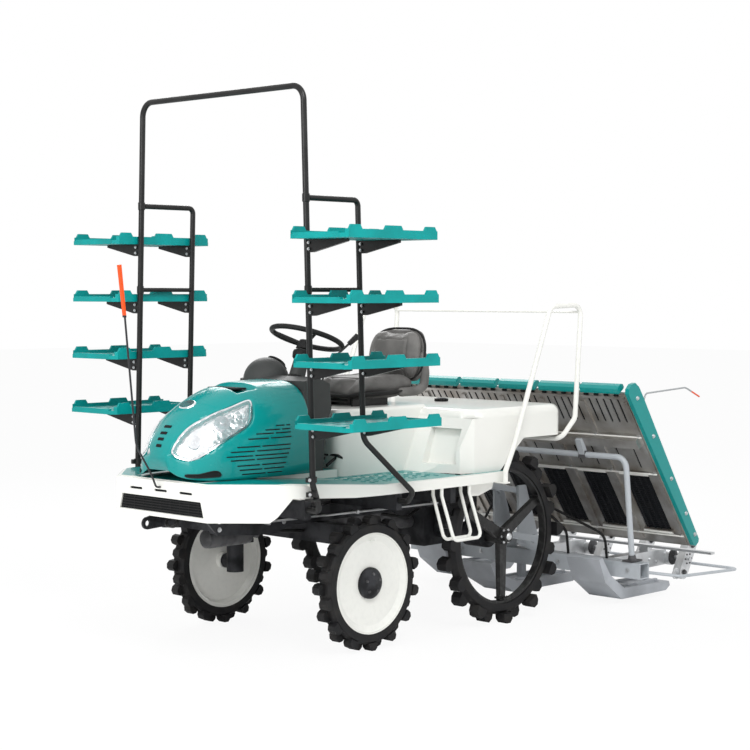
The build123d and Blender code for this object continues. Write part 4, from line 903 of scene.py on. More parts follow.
# Height, front end, gap and rear end of each louvre
LOUVRES = (
    (1137, -375, -315, -285),
    (1118, -443, -347, -287),
    (1101, -499, -389, -288),
    (1078, -547, -423, -286),
    (1041, -615, -481, -294),
    (1019, -655, -515, -298),
    (997, -681, -527, -308),
    (978, -661, -519, -320),
    (951, -627, -489, -330),
    (930, -615, -477, -343),
    (909, -601, -457, -357),
)


def hood_side(y, z, lift, side):
    """A point on the hood's flank at a height."""
    low = 0.0
    high = 1.0
    for _ in range(24):
        middle = (low + high) / 2
        if hood_point(y, middle).z < z * MM:
            low = middle
        else:
            high = middle
    point = hood_point(y, low, lift)
    return Vector((point.x * side, point.y, point.z))


def make_louvres(name, side, depth):
    """Slots on the flank as near-black plates of painted shade, each in two lengths with a lip
    above.
    """
    slots = bmesh.new()
    lips = bmesh.new()
    for z, front, gap, rear in LOUVRES:
        for start, end in ((front, gap - 7), (gap + 7, rear)):
            steps = max(2, int((end - start) / 25))
            for step in range(steps):
                y1, y2 = (start + (end - start) * k / steps for k in (step, step + 1))
                for bm, rise, reach, thick in ((slots, 0.0, 5.5, 0.0014), (lips, 5.5, 2.6, depth)):
                    low, high = z + rise, z + rise + reach
                    places = ((y1, low), (y2, low), (y2, high), (y1, high))
                    corners = [hood_side(y, height, -0.002, side) for y, height in places]
                    add_plate(bm, corners, Vector((side * (thick + 0.002), 0, 0)))
    new_piece(f"louvre_slots_{name}", slots, "dark void", "hood")
    new_piece(f"louvre_lips_{name}", lips, "teal", "hood", bevel=0.0008)


# The intake's corners and middle as (y, z), and how far its cover stands off the skin
INTAKE = ((-862, 922), (-856, 907), (-804, 906), (-712, 911), (-730, 938), (-764, 935), (-816, 919))
INTAKE_Y, INTAKE_Z = -775, 917
INTAKE_LIFT = 0.0035


def make_intake(name, side):
    """The three-cornered intake low on the nose, a dark cover of painted shade inside its rim, with
    its bars.
    """
    bm = bmesh.new()
    edge = bmesh.new()
    border = dense_outline(INTAKE, 10.0, 1.0)
    rings = []
    for share in (1.0, 0.8, 0.6, 0.4, 0.2):
        ring = []
        for y, z in border:
            place = (INTAKE_Y + (y - INTAKE_Y) * share, INTAKE_Z + (z - INTAKE_Z) * share)
            ring.append(bm.verts.new(hood_side(*place, INTAKE_LIFT, side)))
        rings.append(ring)
    for outer, inner in zip(rings, rings[1:]):
        join_rings(bm, outer, inner)
    bm.faces.new(rings[-1])
    extrude(bm, bm.faces[:], Vector((-side * 0.004, 0.002, 0)))
    rim = [hood_side(y, z, INTAKE_LIFT, side) for y, z in border]
    add_tube(edge, rim, 0.003, 8, closed=True)
    for rise in (0.25, 0.5, 0.75):
        low = hood_side(-835 + 40 * rise, 908 + 18 * rise, INTAKE_LIFT, side)
        high = hood_side(-728, 913 + 22 * rise, INTAKE_LIFT, side)
        add_rod(edge, low, high, 0.0018, segments=8)
    new_piece(f"intake_{name}", bm, "dark void", "hood")
    new_piece(f"intake_rim_{name}", edge, "black plastic", "hood")


def make_nose():
    """Four small slots of painted shade down the nose, a plain oval boss and the scoop on the crest
    with a dark block of painted shade in it.
    """
    bm = bmesh.new()
    for y, half in ((-822, 0.025), (-848, 0.023), (-867, 0.021), (-880, 0.019)):
        size = Matrix.Diagonal((half * 2, 0.015, 0.006, 1.0))
        matrix = facing(hood_point(y, 1.0), hood_normal(y, 1.0)) @ size
        bmesh.ops.create_cube(bm, size=1.0, matrix=matrix)
    new_piece("nose_slots", bm, "dark void", "hood", bevel=0.002)
    boss = bmesh.new()
    matrix = facing(hood_point(-700, 1.0, -0.001), hood_normal(-700, 1.0))
    bmesh.ops.create_cone(
        boss,
        cap_ends=True,
        segments=40,
        radius1=0.040,
        radius2=0.034,
        depth=0.008,
        matrix=matrix @ Matrix.Diagonal((1.35, 1.0, 1.0, 1.0)),
    )
    new_piece("nose_boss", boss, "chrome", "hood", bevel=0.0015)
    scoop = bmesh.new()
    low = hood_point(SCOOP_Y, 1.0, -0.020).z
    add_block(scoop, (-0.105, back(-478), low - 0.006), (0.105, back(-402), low + 0.004))
    new_piece("scoop_mesh", scoop, "dark void", "hood", bevel=0.002)


# The cushions' middles, the drop of the front lip, and the sewn channels: their depth and
# half-width, how far from the middle they run, and the height of the backrest's seam
SEAT_PAN = (0.0, back(548), 1.284)
SEAT_BACK = (0.0, back(806), 1.456)
LIP_DROP = 0.022
CHANNEL_DEPTH = 0.008
CHANNEL_HALF = 0.007
PAN_CHANNEL = 0.120
BACK_CHANNEL = 0.118
BACK_SEAM = 1.545
PAD_GRID = (36, 56)
PIPING_STEPS = 72
# The left bar that joins pan and backrest, as (x in metres, y, z in millimetres)
SEAT_ARM = (
    (0.196, 640, 1260),
    (0.200, 750, 1262),
    (0.202, 812, 1284),
    (0.198, 826, 1360),
    (0.184, 824, 1450),
)
ARM_BALL = {"u_segments": 20, "v_segments": 12, "radius": 0.0248}


def signed_power(value, power):
    """A power of a value's size, with the value's sign."""
    return copysign(abs(value) ** power, value)


def pad_place(centre, half, places, bend, upright):
    """A point of a pad from its places across and along, from -1 to 1, and its thickness."""
    across, s, thick = places
    narrower, along, rise = bend(across, s)
    if upright:
        place = Vector((across * half[0], thick + along, s * half[1] + rise))
    else:
        place = Vector((across * half[0], s * half[1] + along, thick + rise))
    place.x *= 1 + narrower
    return Vector(centre) + place


def pad_form(bm, centre, half, squareness, bend, upright=False):
    """A closed pad with rounded sides and ends, bent by a function of its places."""
    rows, ring = PAD_GRID
    loops = []
    for row in range(1, rows):
        s = -cos(pi * row / rows)
        close = (1 - abs(s) ** squareness) ** (1 / squareness)
        loop = []
        for step in range(ring):
            angle = 2 * pi * step / ring
            across = signed_power(cos(angle), 0.45) * close**0.6
            thick = signed_power(sin(angle), 0.7) * close * half[2]
            loop.append(bm.verts.new(pad_place(centre, half, (across, s, thick), bend, upright)))
        loops.append(loop)
    for first, second in zip(loops, loops[1:]):
        join_rings(bm, first, second)
    for loop in (loops[0], loops[-1]):
        bm.faces.new(loop)


def ring_tube(bm, centre, half, bend, radius, upright=False):
    """Piping round a pad's middle."""
    points = []
    for step in range(PIPING_STEPS):
        angle = 2 * pi * step / PIPING_STEPS
        places = (signed_power(cos(angle), 0.6), signed_power(sin(angle), 0.6), 0.0)
        points.append(pad_place(centre, half, places, bend, upright))
    add_tube(bm, points, radius, 8, closed=True)


def lip(s):
    """How far the pan's front lip drops."""
    return LIP_DROP * max(0.0, (-s - 0.55) / 0.45) ** 2


def pan_bend(across, s):
    """Side rolls, a lowered front lip and a raised rear on the seat's pan."""
    roll = 0.016 * max(0.0, abs(across) - 0.5) / 0.5
    rise = 0.016 * max(0.0, s - 0.2)
    return (-0.10 * max(0.0, -s - 0.3), 0.0, roll - lip(s) + rise)


def shell_bend(across, s):
    """The pan's bend without its lowered lip, so that the seat tips clear of the deck."""
    narrower, along, rise = pan_bend(across, s)
    return (narrower, along, rise + lip(s))


def back_bend(across, s):
    """Wings forward at the sides, a lean and a narrower top on the backrest."""
    wing = -0.034 * max(0.0, abs(across) - 0.35) ** 1.5 * (1 - 0.3 * s)
    return (-0.14 * max(0.0, s) ** 2 - 0.04 * max(0.0, -s), wing + 0.020 * s, 0.0)


def channel(offset):
    """A sewn channel's share of its depth at a distance from its line."""
    return exp(-((offset / CHANNEL_HALF) ** 2))


def pan_channels(place):
    """Depth of the pan's sewn channels."""
    if place.z < SEAT_PAN[2]:
        return 0.0
    x = abs(place.x)
    along = channel(x - PAN_CHANNEL) * (back(395) < place.y < back(755))
    across = channel(place.y - back(395)) * (x < PAN_CHANNEL)
    return CHANNEL_DEPTH * max(along, across)


def back_channels(place):
    """Depth of the backrest's sewn channels."""
    if place.y > SEAT_BACK[1] + 0.02:
        return 0.0
    x = abs(place.x)
    along = channel(x - BACK_CHANNEL) * (place.z < BACK_SEAM)
    across = channel(place.z - BACK_SEAM) * (x < BACK_CHANNEL)
    return CHANNEL_DEPTH * max(along, across)


def make_seat():
    """Pan and back cushions with sewn channels and piping, on dark shells."""
    look = {"finish": "vinyl", "body": "seat", "subdivide": 1, "angle": 80}
    pan = bmesh.new()
    pad_form(pan, SEAT_PAN, (0.207, 0.226, 0.040), 5, pan_bend)
    cushion = new_piece("seat_pan_cushion", pan, channels=pan_channels, **look)
    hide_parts("seat")
    rest = bmesh.new()
    pad_form(rest, SEAT_BACK, (0.198, 0.138, 0.034), 4, back_bend, upright=True)
    cushion = new_piece("seat_back_cushion", rest, channels=back_channels, **look)
    piping = bmesh.new()
    middle = Vector(SEAT_PAN) - Vector((0, 0, 0.034))
    ring_tube(piping, middle, (0.212, 0.228), shell_bend, 0.006)
    middle = Vector(SEAT_BACK) + Vector((0, 0.026, 0))
    ring_tube(piping, middle, (0.206, 0.143), back_bend, 0.007, upright=True)
    new_piece("seat_piping", piping, "black plastic", "seat")
    shell = bmesh.new()
    pad_form(shell, (0.0, SEAT_PAN[1], 1.246), (0.204, 0.222, 0.014), 6, shell_bend)
    for x in (0.096, -0.096):
        add_block(shell, (x - 0.008, back(337), 1.205), (x + 0.008, back(367), 1.240))
    new_piece("seat_shell", shell, "black plastic", "seat")
    hull = bmesh.new()
    middle = Vector(SEAT_BACK) + Vector((0, 0.030, -0.006))
    pad_form(hull, middle, (0.202, 0.140, 0.014), 5, back_bend, upright=True)
    for side in (1, -1):
        route = [(side * x, back(y), z * MM) for x, y, z in SEAT_ARM]
        add_tube(hull, rounded_route(route, 0.09, 10), 0.025, 20)
        for end in (route[0], route[-1]):
            bmesh.ops.create_uvsphere(hull, matrix=Matrix.Translation(end), **ARM_BALL)
    new_piece("seat_back_shell", hull, "vinyl", "seat", angle=80)


# Outlines of turned parts as (radius, along) pairs
HUB_CAP = (
    (0.0, 0.014),
    (0.018, 0.013),
    (0.026, 0.007),
    (0.054, 0.003),
    (0.070, -0.004),
    (0.079, -0.014),
    (0.079, -0.034),
    (0.0, -0.034),
)
RIM_BEAD = (
    (0.250, -0.004),
    (0.255, -0.006),
    (0.258, 0.0),
    (0.255, 0.005),
    (0.250, 0.004),
    (0.250, -0.004),
)
REAR_HUB = ((0.0, 0.012), (0.012, 0.011), (0.019, 0.005), (0.021, 0.0), (0.0, 0.0))
RIM_PAD = Vector((0.026, 0.034, 0.005))


def make_wheels(sizes):
    """Hub caps with their bolts, rim beads, valve stems and rim pads."""
    for name, side in SIDES:
        axis = Vector((side, 0, 0))
        front = Vector((side * FRONT_WHEEL_X, AXLE_Y, FRONT_WHEEL_Z))
        rear = Vector((side * REAR_WHEEL_X, back(WHEELBASE), REAR_WHEEL_Z))
        cap = bmesh.new()
        add_lathe(cap, HUB_CAP, front + axis * 0.042, axis)
        new_piece(f"front_hub_cap_{name}", cap, "frame", f"front_wheel_{name}")
        bolts = bmesh.new()
        for k in range(5):
            place = front + axis * 0.044 + spoke(2 * pi * k / 5 + 0.3) * 0.047
            add_bolt(bolts, place, axis, sizes.bolt * 0.75)
        new_piece(f"front_hub_bolts_{name}", bolts, "cast", f"front_wheel_{name}", "chrome_rod")
        bead = bmesh.new()
        for reach in (-0.037, 0.036):
            add_lathe(bead, RIM_BEAD, front + Vector((side * reach, 0, 0)), axis, 64)
        stem = front + axis * 0.022 + Vector((0, 0, 0.215))
        add_rod(bead, stem, stem + axis * 0.034 + Vector((0, 0, 0.006)), 0.004, 0.003, 12)
        new_piece(f"front_rim_bead_{name}", bead, "white", f"front_wheel_{name}")
        nuts = bmesh.new()
        add_lathe(nuts, REAR_HUB, rear + axis * 0.058, axis)
        for k in range(6):
            place = rear + axis * 0.036 + spoke(2 * pi * k / 6) * 0.036
            add_bolt(nuts, place, axis, sizes.bolt * 0.62)
        new_piece(f"rear_hub_nuts_{name}", nuts, "steel", f"rear_wheel_{name}")
        pads = bmesh.new()
        for turn in (30, 150, 270):
            out = spoke(radians(turn))
            place = rear + axis * 0.010 + out * 0.340
            add_block(pads, place - RIM_PAD, place + RIM_PAD, turn_to(out))
            for shift in (-0.018, 0.018):
                across = spoke(radians(turn + 90)) * shift
                head = place + across + axis * 0.018 - out * 0.006
                add_bolt(pads, head, -out, sizes.bolt * 0.6)
        new_piece(f"rear_rim_pads_{name}", pads, "black paint", f"rear_wheel_{name}", bevel=0.002)


# The seedling stage: its sheet's run, fall, top edge (y, z) and thickness in millimetres
STAGE_RUN = 645.0
STAGE_FALL = 915.0
STAGE_LENGTH = hypot(STAGE_RUN, STAGE_FALL)
STAGE_TOP = (1690.0, 1245.0)
STAGE_TILT = Matrix.Rotation(-atan2(STAGE_FALL, STAGE_RUN), 4, "X")
SHEET = 12.0
SLOT_LIFT = (-SHEET + 2.6, -SHEET + 3.8)
LANE_PITCH = 0.300
LANES = [(k - 2.5) * LANE_PITCH for k in range(6)]
CASES_X = (-0.6, 0.0, 0.6)


def stage_place(x, slope, lift):
    """A point on the stage: across in metres, down the slope and above the sheet in millimetres."""
    down = Vector((0, STAGE_RUN, -STAGE_FALL)) / STAGE_LENGTH
    out = Vector((0, STAGE_FALL, STAGE_RUN)) / STAGE_LENGTH
    return Vector((x, back(STAGE_TOP[0]), STAGE_TOP[1] * MM)) + (down * slope + out * lift) * MM


def stage_bar(bm, x, half, slope, lift):
    """A block on the stage, between limits down the slope and above the sheet."""
    centre = stage_place(x, sum(slope) / 2, sum(lift) / 2)
    size = Vector((2 * half, (slope[1] - slope[0]) * MM, (lift[1] - lift[0]) * MM))
    add_block(bm, centre - size / 2, centre + size / 2, STAGE_TILT)


def stage_rod(bm, x, half, slope, lift, radius, segments=18):
    """A round bar across the stage."""
    ends = [stage_place(x + reach, slope, lift) for reach in (-half, half)]
    add_rod(bm, *ends, radius, segments=segments)


def make_lanes():
    """Feed belts with their rollers and slots under the stage as dark bars of painted shade, and
    the rods above it.
    """
    belts, rollers, slots, rods, clips = (bmesh.new() for _ in range(5))
    for x in LANES:
        stage_bar(belts, x, 0.084, (598, 1004), (-SHEET, -SHEET + 6))
        for step in range(26):
            slope = 602 + step * 15.6
            stage_bar(belts, x, 0.082, (slope, slope + 8), (-SHEET - 3.5, -SHEET + 1))
        for shift in (-0.062, -0.021, 0.021, 0.062):
            stage_bar(belts, x + shift, 0.006, (600, 1002), (-SHEET - 6, -SHEET))
        for slope, radius in ((581, 0.010), (1018, 0.009)):
            stage_rod(rollers, x, 0.100, slope, -24, radius)
        for shift in (-0.100, -0.050, 0.0, 0.050, 0.100):
            stage_bar(slots, x + shift, 0.0058, (42, 208), SLOT_LIFT)
        for shift in (-0.062, 0.062):
            stage_bar(slots, x + shift, 0.0048, (392, 541), SLOT_LIFT)
        for shift in (-0.105, -0.035, 0.035, 0.105):
            stage_bar(slots, x + shift, 0.014, (8, 17), (-SHEET - 8, -SHEET + 1))
        for shift in (-0.070, 0.070):
            route = [stage_place(x + shift, *end) for end in ((430, 34), (1060, 30), (1098, 44))]
            add_tube(rods, rounded_route(route, 0.03), 0.003, 8)
        stage_rod(rods, x, 0.138, 470, 33, 0.004, 10)
        for shift in (-0.136, 0.136):
            stage_bar(clips, x + shift, 0.008, (462, 478), (-1, 38))
    for slope, lift in ((300, -30), (566, -34), (1034, -30)):
        stage_rod(rollers, 0.0, 0.92, slope, lift, 0.005, 12)
        for x in LANES:
            stage_bar(clips, x + 0.150, 0.007, (slope - 7, slope + 7), (lift - 3, -SHEET - 8))
    new_piece("feed_belts", belts, "belt", "stage", bevel=0.0012)
    new_piece("feed_rollers", rollers, "white", "stage")
    new_piece("stage_slots", slots, "dark void", "stage")
    new_piece("lane_rods", rods, "steel", "stage")
    new_piece("lane_clips", clips, "steel", "stage", bevel=0.001)


def make_stage_sides(sizes):
    """Bolts on the side plates and the gates at the lanes' feet."""
    bolts = bmesh.new()
    for side in (1, -1):
        for slope in (60, 330, 640, 900, 1060):
            add_bolt(bolts, stage_place(side * 0.9555, slope, 26), (side, 0, 0), sizes.bolt)
    new_piece("stage_bolts", bolts, "steel", "stage")
    feet = bmesh.new()
    for x in LANES:
        stage_bar(feet, x, 0.118, (1076, 1112), (1, 9))
        stage_bar(feet, x, 0.030, (1084, 1118), (8, 20))
    new_piece("lane_gates", feet, "black plastic", "stage", bevel=0.003)


CASE_COVER = ((0.0, 0.014), (0.030, 0.013), (0.044, 0.007), (0.047, 0.0), (0.0, 0.0))


def make_planter(sizes):
    """Planting arms, fingers, bolts, beam fittings and hoses of the planting unit."""
    arms = bmesh.new()
    fingers = bmesh.new()
    face = Vector((0.026, 0, 0))
    for x in LANES:
        hub = Vector((x, ROTOR_Y, ROTOR_Z))
        for turn in (60, 240):
            out = spoke(radians(turn))
            cross = spoke(radians(turn + 90))
            root = hub + out * 0.088
            add_bolt(arms, root + face, (1, 0, 0), 0.013)
            add_bolt(arms, root - face, (-1, 0, 0), 0.013)
            for shift in (-0.008, 0.008):
                foot = root + out * 0.028 + Vector((shift, 0, 0))
                bend = foot + out * 0.035 - cross * 0.030
                route = [foot, bend, foot + out * 0.014 - cross * 0.062]
                add_tube(fingers, rounded_route(route, 0.02, 4), 0.0028, 8)
        for step in range(6):
            place = hub + face + spoke(2 * pi * step / 6) * 0.030
            add_bolt(arms, place, (1, 0, 0), sizes.bolt * 0.5)
    new_piece("arm_bolts", arms, "cast", "rotors")
    new_piece("planting_fingers", fingers, "steel", "rotors")
    bolts = bmesh.new()
    for x in CASES_X:
        for side in (1, -1):
            for d, z in ((2000, 0.235), (2000, 0.185), (2180, 0.228), (2330, 0.214), (2400, 0.190)):
                add_bolt(bolts, (x + side * 0.034, back(d), z), (side, 0, 0), sizes.bolt * 0.9)
    for x in (-0.80, -0.45, -0.3, -0.15, 0.15, 0.3, 0.45, 0.80):
        add_bolt(bolts, (x, back(1880), 0.215), (0, -1, 0), sizes.bolt * 1.1)
    new_piece("planter_bolts", bolts, "steel", "planting_frame")
    brackets = bmesh.new()
    for x in (-0.800, 0.800):
        add_block(brackets, (x - 0.034, back(1872), 0.262), (x + 0.034, back(1980), 0.272))
        add_rod(brackets, (x, back(1925), 0.268), (x, back(1921), 0.300), 0.026, 0.020, 24)
    for x in (-0.5, 0.5):
        add_block(brackets, (x - 0.026, back(1838), 0.840), (x + 0.026, back(1872), 0.884))
    new_piece("beam_brackets", brackets, "cast", "planting_frame", bevel=0.003)
    cover = bmesh.new()
    for x in CASES_X:
        for side in (1, -1):
            place = (x + side * 0.066, ROTOR_Y, ROTOR_Z)
            add_lathe(cover, CASE_COVER, place, (side, 0, 0), 32)
    new_piece("case_covers", cover, "cast", "planting_frame")
    ribs = bmesh.new()
    for x, nose, tail in zip(CASES_X, (1722, 1480, 1722), (2420, 2300, 2420)):
        for rib in (x - 0.062, x + 0.062):
            low = (rib - 0.010, back(nose + 300), 0.080)
            add_block(ribs, low, (rib + 0.010, back(tail - 60), 0.101))
        for d in (nose + 330, (nose + tail) / 2 + 60, tail - 90):
            add_block(ribs, (x - 0.098, back(d - 8), 0.080), (x + 0.098, back(d + 8), 0.097))
    new_piece("float_ribs", ribs, "float", "planting_frame", bevel=0.004)
    hoses = bmesh.new()
    for x, end in ((0.13, 0.34), (-0.13, -0.30), (0.16, 0.62)):
        route = ((x, 1800, 0.70), (x * 1.2, 1850, 0.56), (end, 1905, 0.40), (end, 1925, 0.262))
        add_hose(hoses, route, 0.08, 8, 0.008, 10)
    new_piece("planter_hoses", hoses, "black plastic", "planting_frame")


def rack_x(height):
    """Half the rack's width at a height in metres."""
    return 0.648 - 0.032 * (height - 1.5)


TRAY_LEVELS = (2.052, 1.750, 1.448, 1.158)


# Beads along a tray: place across, height and radius
TRAY_BEADS = (
    (0.018, 0.0205, 0.0045),
    (0.368, 0.0205, 0.0045),
    (0.105, 0.019, 0.0035),
    (0.193, 0.019, 0.0035),
    (0.281, 0.019, 0.0035),
)


def make_trays(sizes):
    """Drain slots as dark plates of painted shade and beads on the trays, with bolts on their
    brackets.
    """
    for name, side in SIDES:
        slots = bmesh.new()
        beads = bmesh.new()
        bolts = bmesh.new()
        for level in TRAY_LEVELS:
            inner = rack_x(level) + 0.021
            for row in range(7):
                y = back(TRAY_MIDDLE - 255 + row * 85)
                for column in range(4):
                    x = side * (inner + 0.062 + column * 0.087)
                    low = (x - 0.028, y - 0.004, level + 0.0195)
                    add_block(slots, low, (x + 0.028, y + 0.004, level + 0.0207))
            for reach, lift, radius in TRAY_BEADS:
                x = side * (inner + reach)
                ends = [(x, back(TRAY_MIDDLE + end), level + lift) for end in (-290, 290)]
                add_rod(beads, *ends, radius, segments=10)
            for d in (-482, -131):
                for height in (level - 0.016, level - 0.046):
                    x = side * (rack_x(height) + 0.026)
                    add_bolt(bolts, (x, back(d - 16), height), (0, -1, 0), sizes.bolt * 0.62)
        new_piece(f"tray_drains_{name}", slots, "dark void", "chassis")
        new_piece(f"tray_beads_{name}", beads, "tray", "chassis")
        new_piece(f"tray_bolts_{name}", bolts, "steel", "chassis")


def add_collar(bm, height, half, radius, side):
    """A collar round a rack's post."""
    x = side * rack_x(height)
    ends = [(x, RACK_Y, height + reach) for reach in (-half, half)]
    add_rod(bm, *ends, radius, segments=24)
    return x


def make_rack_fittings(sizes):
    """Foot plates, clamps and bolts on the rack's posts."""
    clamps = bmesh.new()
    bolts = bmesh.new()
    for side in (1, -1):
        low, high = sorted(side * (rack_x(0.9) + reach) for reach in (-0.028, 0.026))
        add_block(clamps, (low, back(-506), 0.800), (high, back(-458), 0.812))
        for height in (0.835, 0.905):
            x = add_collar(clamps, height, 0.014, 0.0215, side)
            low = (x - 0.009, RACK_Y - 0.040, height - 0.012)
            add_block(clamps, low, (x + 0.009, RACK_Y - 0.016, height + 0.012))
            head = (x + side * 0.009, RACK_Y - 0.030, height)
            add_bolt(bolts, head, (side, 0, 0), sizes.bolt * 0.75)
        for height in (2.251, 1.812):
            add_collar(clamps, height, 0.020, 0.0185, side)
    new_piece("rack_clamps", clamps, "black paint", "chassis", bevel=0.002)
    new_piece("rack_bolts", bolts, "steel", "chassis")


GRILLE_CORNERS = ((-0.319, 0.724), (0.319, 0.724), (0.298, 0.796), (-0.298, 0.796))
DECK_Z = 0.8445


def make_platform():
    """Grille slats on a dark plate of painted shade, cowl slots of painted shade, floor studs and
    the tow loop.
    """
    bars = bmesh.new()
    void = bmesh.new()
    plane = [(x, GRILLE_Y + 0.0065, z) for x, z in GRILLE_CORNERS]
    add_plate(void, plane, Vector((0, 0.0012, 0)))
    for x in (-0.190, 0.0, 0.190):
        low = (x - 0.046, GRILLE_Y + 0.0060, 0.8268)
        add_block(void, low, (x + 0.046, GRILLE_Y + 0.0078, 0.8372))
    for row in range(5):
        z = 0.735 + row * 0.013
        half = 0.314 - (z - 0.722) * 0.28
        low = (-half, GRILLE_Y + 0.0012, z - 0.0022)
        add_block(bars, low, (half, GRILLE_Y + 0.0075, z + 0.0022))
    for column in range(9):
        x = -0.28 + column * 0.07
        low = (x - 0.002, GRILLE_Y + 0.0035, 0.726)
        add_block(bars, low, (x + 0.002, GRILLE_Y + 0.0075, 0.795))
    new_piece("grille_void", void, "dark void", "chassis")
    new_piece("grille_slats", bars, "black plastic", "chassis", bevel=0.0008)
    studs = bmesh.new()
    for side in (1, -1):
        for row in range(12):
            y = back(-20 + row * 48)
            for column in range(5):
                x = side * (0.30 + column * 0.062 + (row % 2) * 0.02)
                if abs(x) < 0.60:
                    low = (x - 0.017, y - 0.004, DECK_Z)
                    add_block(studs, low, (x + 0.017, y + 0.004, DECK_Z + 0.0027))
    new_piece("floor_studs", studs, "teal", "chassis", bevel=0.001)
    loop = bmesh.new()
    left = ((-0.040, -786, 0.700), (-0.040, -812, 0.650))
    right = ((0.040, -812, 0.650), (0.040, -786, 0.700))
    add_hose(loop, left + right, 0.03, 6, 0.007, 12)
    new_piece("tow_loop", loop, "black paint", "chassis")


KNOB = ((0.0, 0.034), (0.010, 0.031), (0.0155, 0.020), (0.013, 0.006), (0.0, 0.0))
WHEEL_BOSS = ((0.0, 0.008), (0.020, 0.0075), (0.030, 0.004), (0.033, -0.002), (0.0, -0.002))
SHROUD = (
    (0.0, -0.108),
    (0.040, -0.106),
    (0.050, -0.096),
    (0.054, -0.070),
    (0.050, -0.058),
    (0.045, -0.055),
    (0.0, -0.055),
)
BOOT_FOLDS = (
    (0.060, 0.0),
    (0.062, 0.012),
    (0.052, 0.020),
    (0.056, 0.032),
    (0.047, 0.040),
    (0.050, 0.052),
    (0.0445, 0.060),
)
FUEL_CAP = ((0.0, 0.022), (0.026, 0.021), (0.034, 0.016), (0.036, 0.0), (0.0, 0.0))
SMALL_LEVERS = ((0.205, 30, 1.352, 0.05), (0.130, 44, 1.345, 0.0), (0.225, -40, 1.366, 0.10))
COLUMN_TILT = radians(20)
WHEEL_PLACE = Vector((0, back(120), 1.560))


def make_controls():
    """Buttons, knobs and dials on the dashboard, the wheel's boss, pedals and the fuel cap."""
    stop = bmesh.new()
    button = Vector((0.165, back(40), 1.290))
    add_rod(stop, button, button + Vector((0, 0.030, 0.004)), 0.018, 0.016, 28)
    new_piece("stop_button", stop, "red", "chassis", bevel=0.002)
    knobs = bmesh.new()
    for x, d, z, lean in SMALL_LEVERS:
        start = Vector((x, back(d), z - 0.012))
        end = start + Vector((lean * 0.6, 0.020, 0.085))
        add_rod(knobs, start, end, 0.0045, segments=12)
        add_lathe(knobs, KNOB, end, end - start, 24)
    new_piece("small_levers", knobs, "black plastic", "chassis")
    dials = bmesh.new()
    dome = Vector((-0.165, back(-20), 1.335))
    for turn, tilt, reach in ((0.0, 52, 0.052), (38, 40, 0.024), (-38, 40, 0.024)):
        a = radians(turn)
        t = radians(tilt)
        out = Vector((sin(a) * cos(t), cos(a) * cos(t), sin(t)))
        face = ((0.0, 0.004), (reach - 0.006, 0.004))
        rim = ((reach, 0.0025), (reach, -0.006), (0.0, -0.006))
        add_lathe(dials, face + rim, dome + out * 0.1205, out, 40)
    new_piece("dials", dials, "black plastic", "chassis")
    axis = Vector((0, sin(COLUMN_TILT), cos(COLUMN_TILT)))
    centre = WHEEL_PLACE + axis * -0.021
    boss = bmesh.new()
    add_lathe(boss, WHEEL_BOSS, centre, axis, 40)
    new_piece("wheel_boss", boss, "charcoal", "steering_wheel")
    shroud = bmesh.new()
    add_lathe(shroud, SHROUD, centre, axis, 40)
    new_piece("column_shroud", shroud, "black plastic", "chassis")
    boot = bmesh.new()
    add_lathe(boot, BOOT_FOLDS, WHEEL_PLACE + axis * -0.272, axis, 40)
    bmesh.ops.holes_fill(boot, edges=[e for e in boot.edges if e.is_boundary])
    new_piece("column_boot", boot, "black plastic", "chassis")
    pedals = bmesh.new()
    lean = Matrix.Rotation(radians(-28), 4, "X")
    for x, d in ((0.150, 118), (0.225, 118), (-0.200, 112)):
        low = (x - 0.030, back(d - 22), 0.940)
        add_block(pedals, low, (x + 0.030, back(d + 26), 0.952), lean)
        for k in range(4):
            y = back(d - 14 + k * 10)
            z = 0.955 - k * 0.0052
            add_block(pedals, (x - 0.026, y - 0.002, z), (x + 0.026, y + 0.002, z + 0.004))
        add_rod(pedals, (x, back(d - 4), 0.944), (x, back(d - 74), 0.905), 0.008, segments=12)
    new_piece("pedals", pedals, "black plastic", "chassis", bevel=0.002)
    cap = bmesh.new()
    place = (0.0, back(1180), 1.177)
    add_lathe(cap, FUEL_CAP, place, (0, 0, 1), 36)
    for k in range(12):
        a = 2 * pi * k / 12
        x = cos(a) * 0.035
        y = place[1] + sin(a) * 0.035
        add_block(cap, (x - 0.004, y - 0.004, 1.180), (x + 0.004, y + 0.004, 1.194))
    new_piece("fuel_cap", cap, "black plastic", "chassis", bevel=0.001)


SILENCER_END = ((0.0, 0.16), (0.030, 0.158), (0.046, 0.145), (0.050, 0.12))
SILENCER = (*((r, -h) for r, h in SILENCER_END), *reversed(SILENCER_END))
CHASSIS_HOSES = (
    ((0.09, 560, 0.600), (0.12, 760, 0.560), (0.10, 980, 0.640), (0.05, 1150, 0.800)),
    ((-0.09, 560, 0.600), (-0.14, 780, 0.560), (-0.12, 1000, 0.650), (-0.05, 1150, 0.805)),
    ((0.150, -500, 0.650), (0.158, -200, 0.585), (0.13, 40, 0.560)),
)


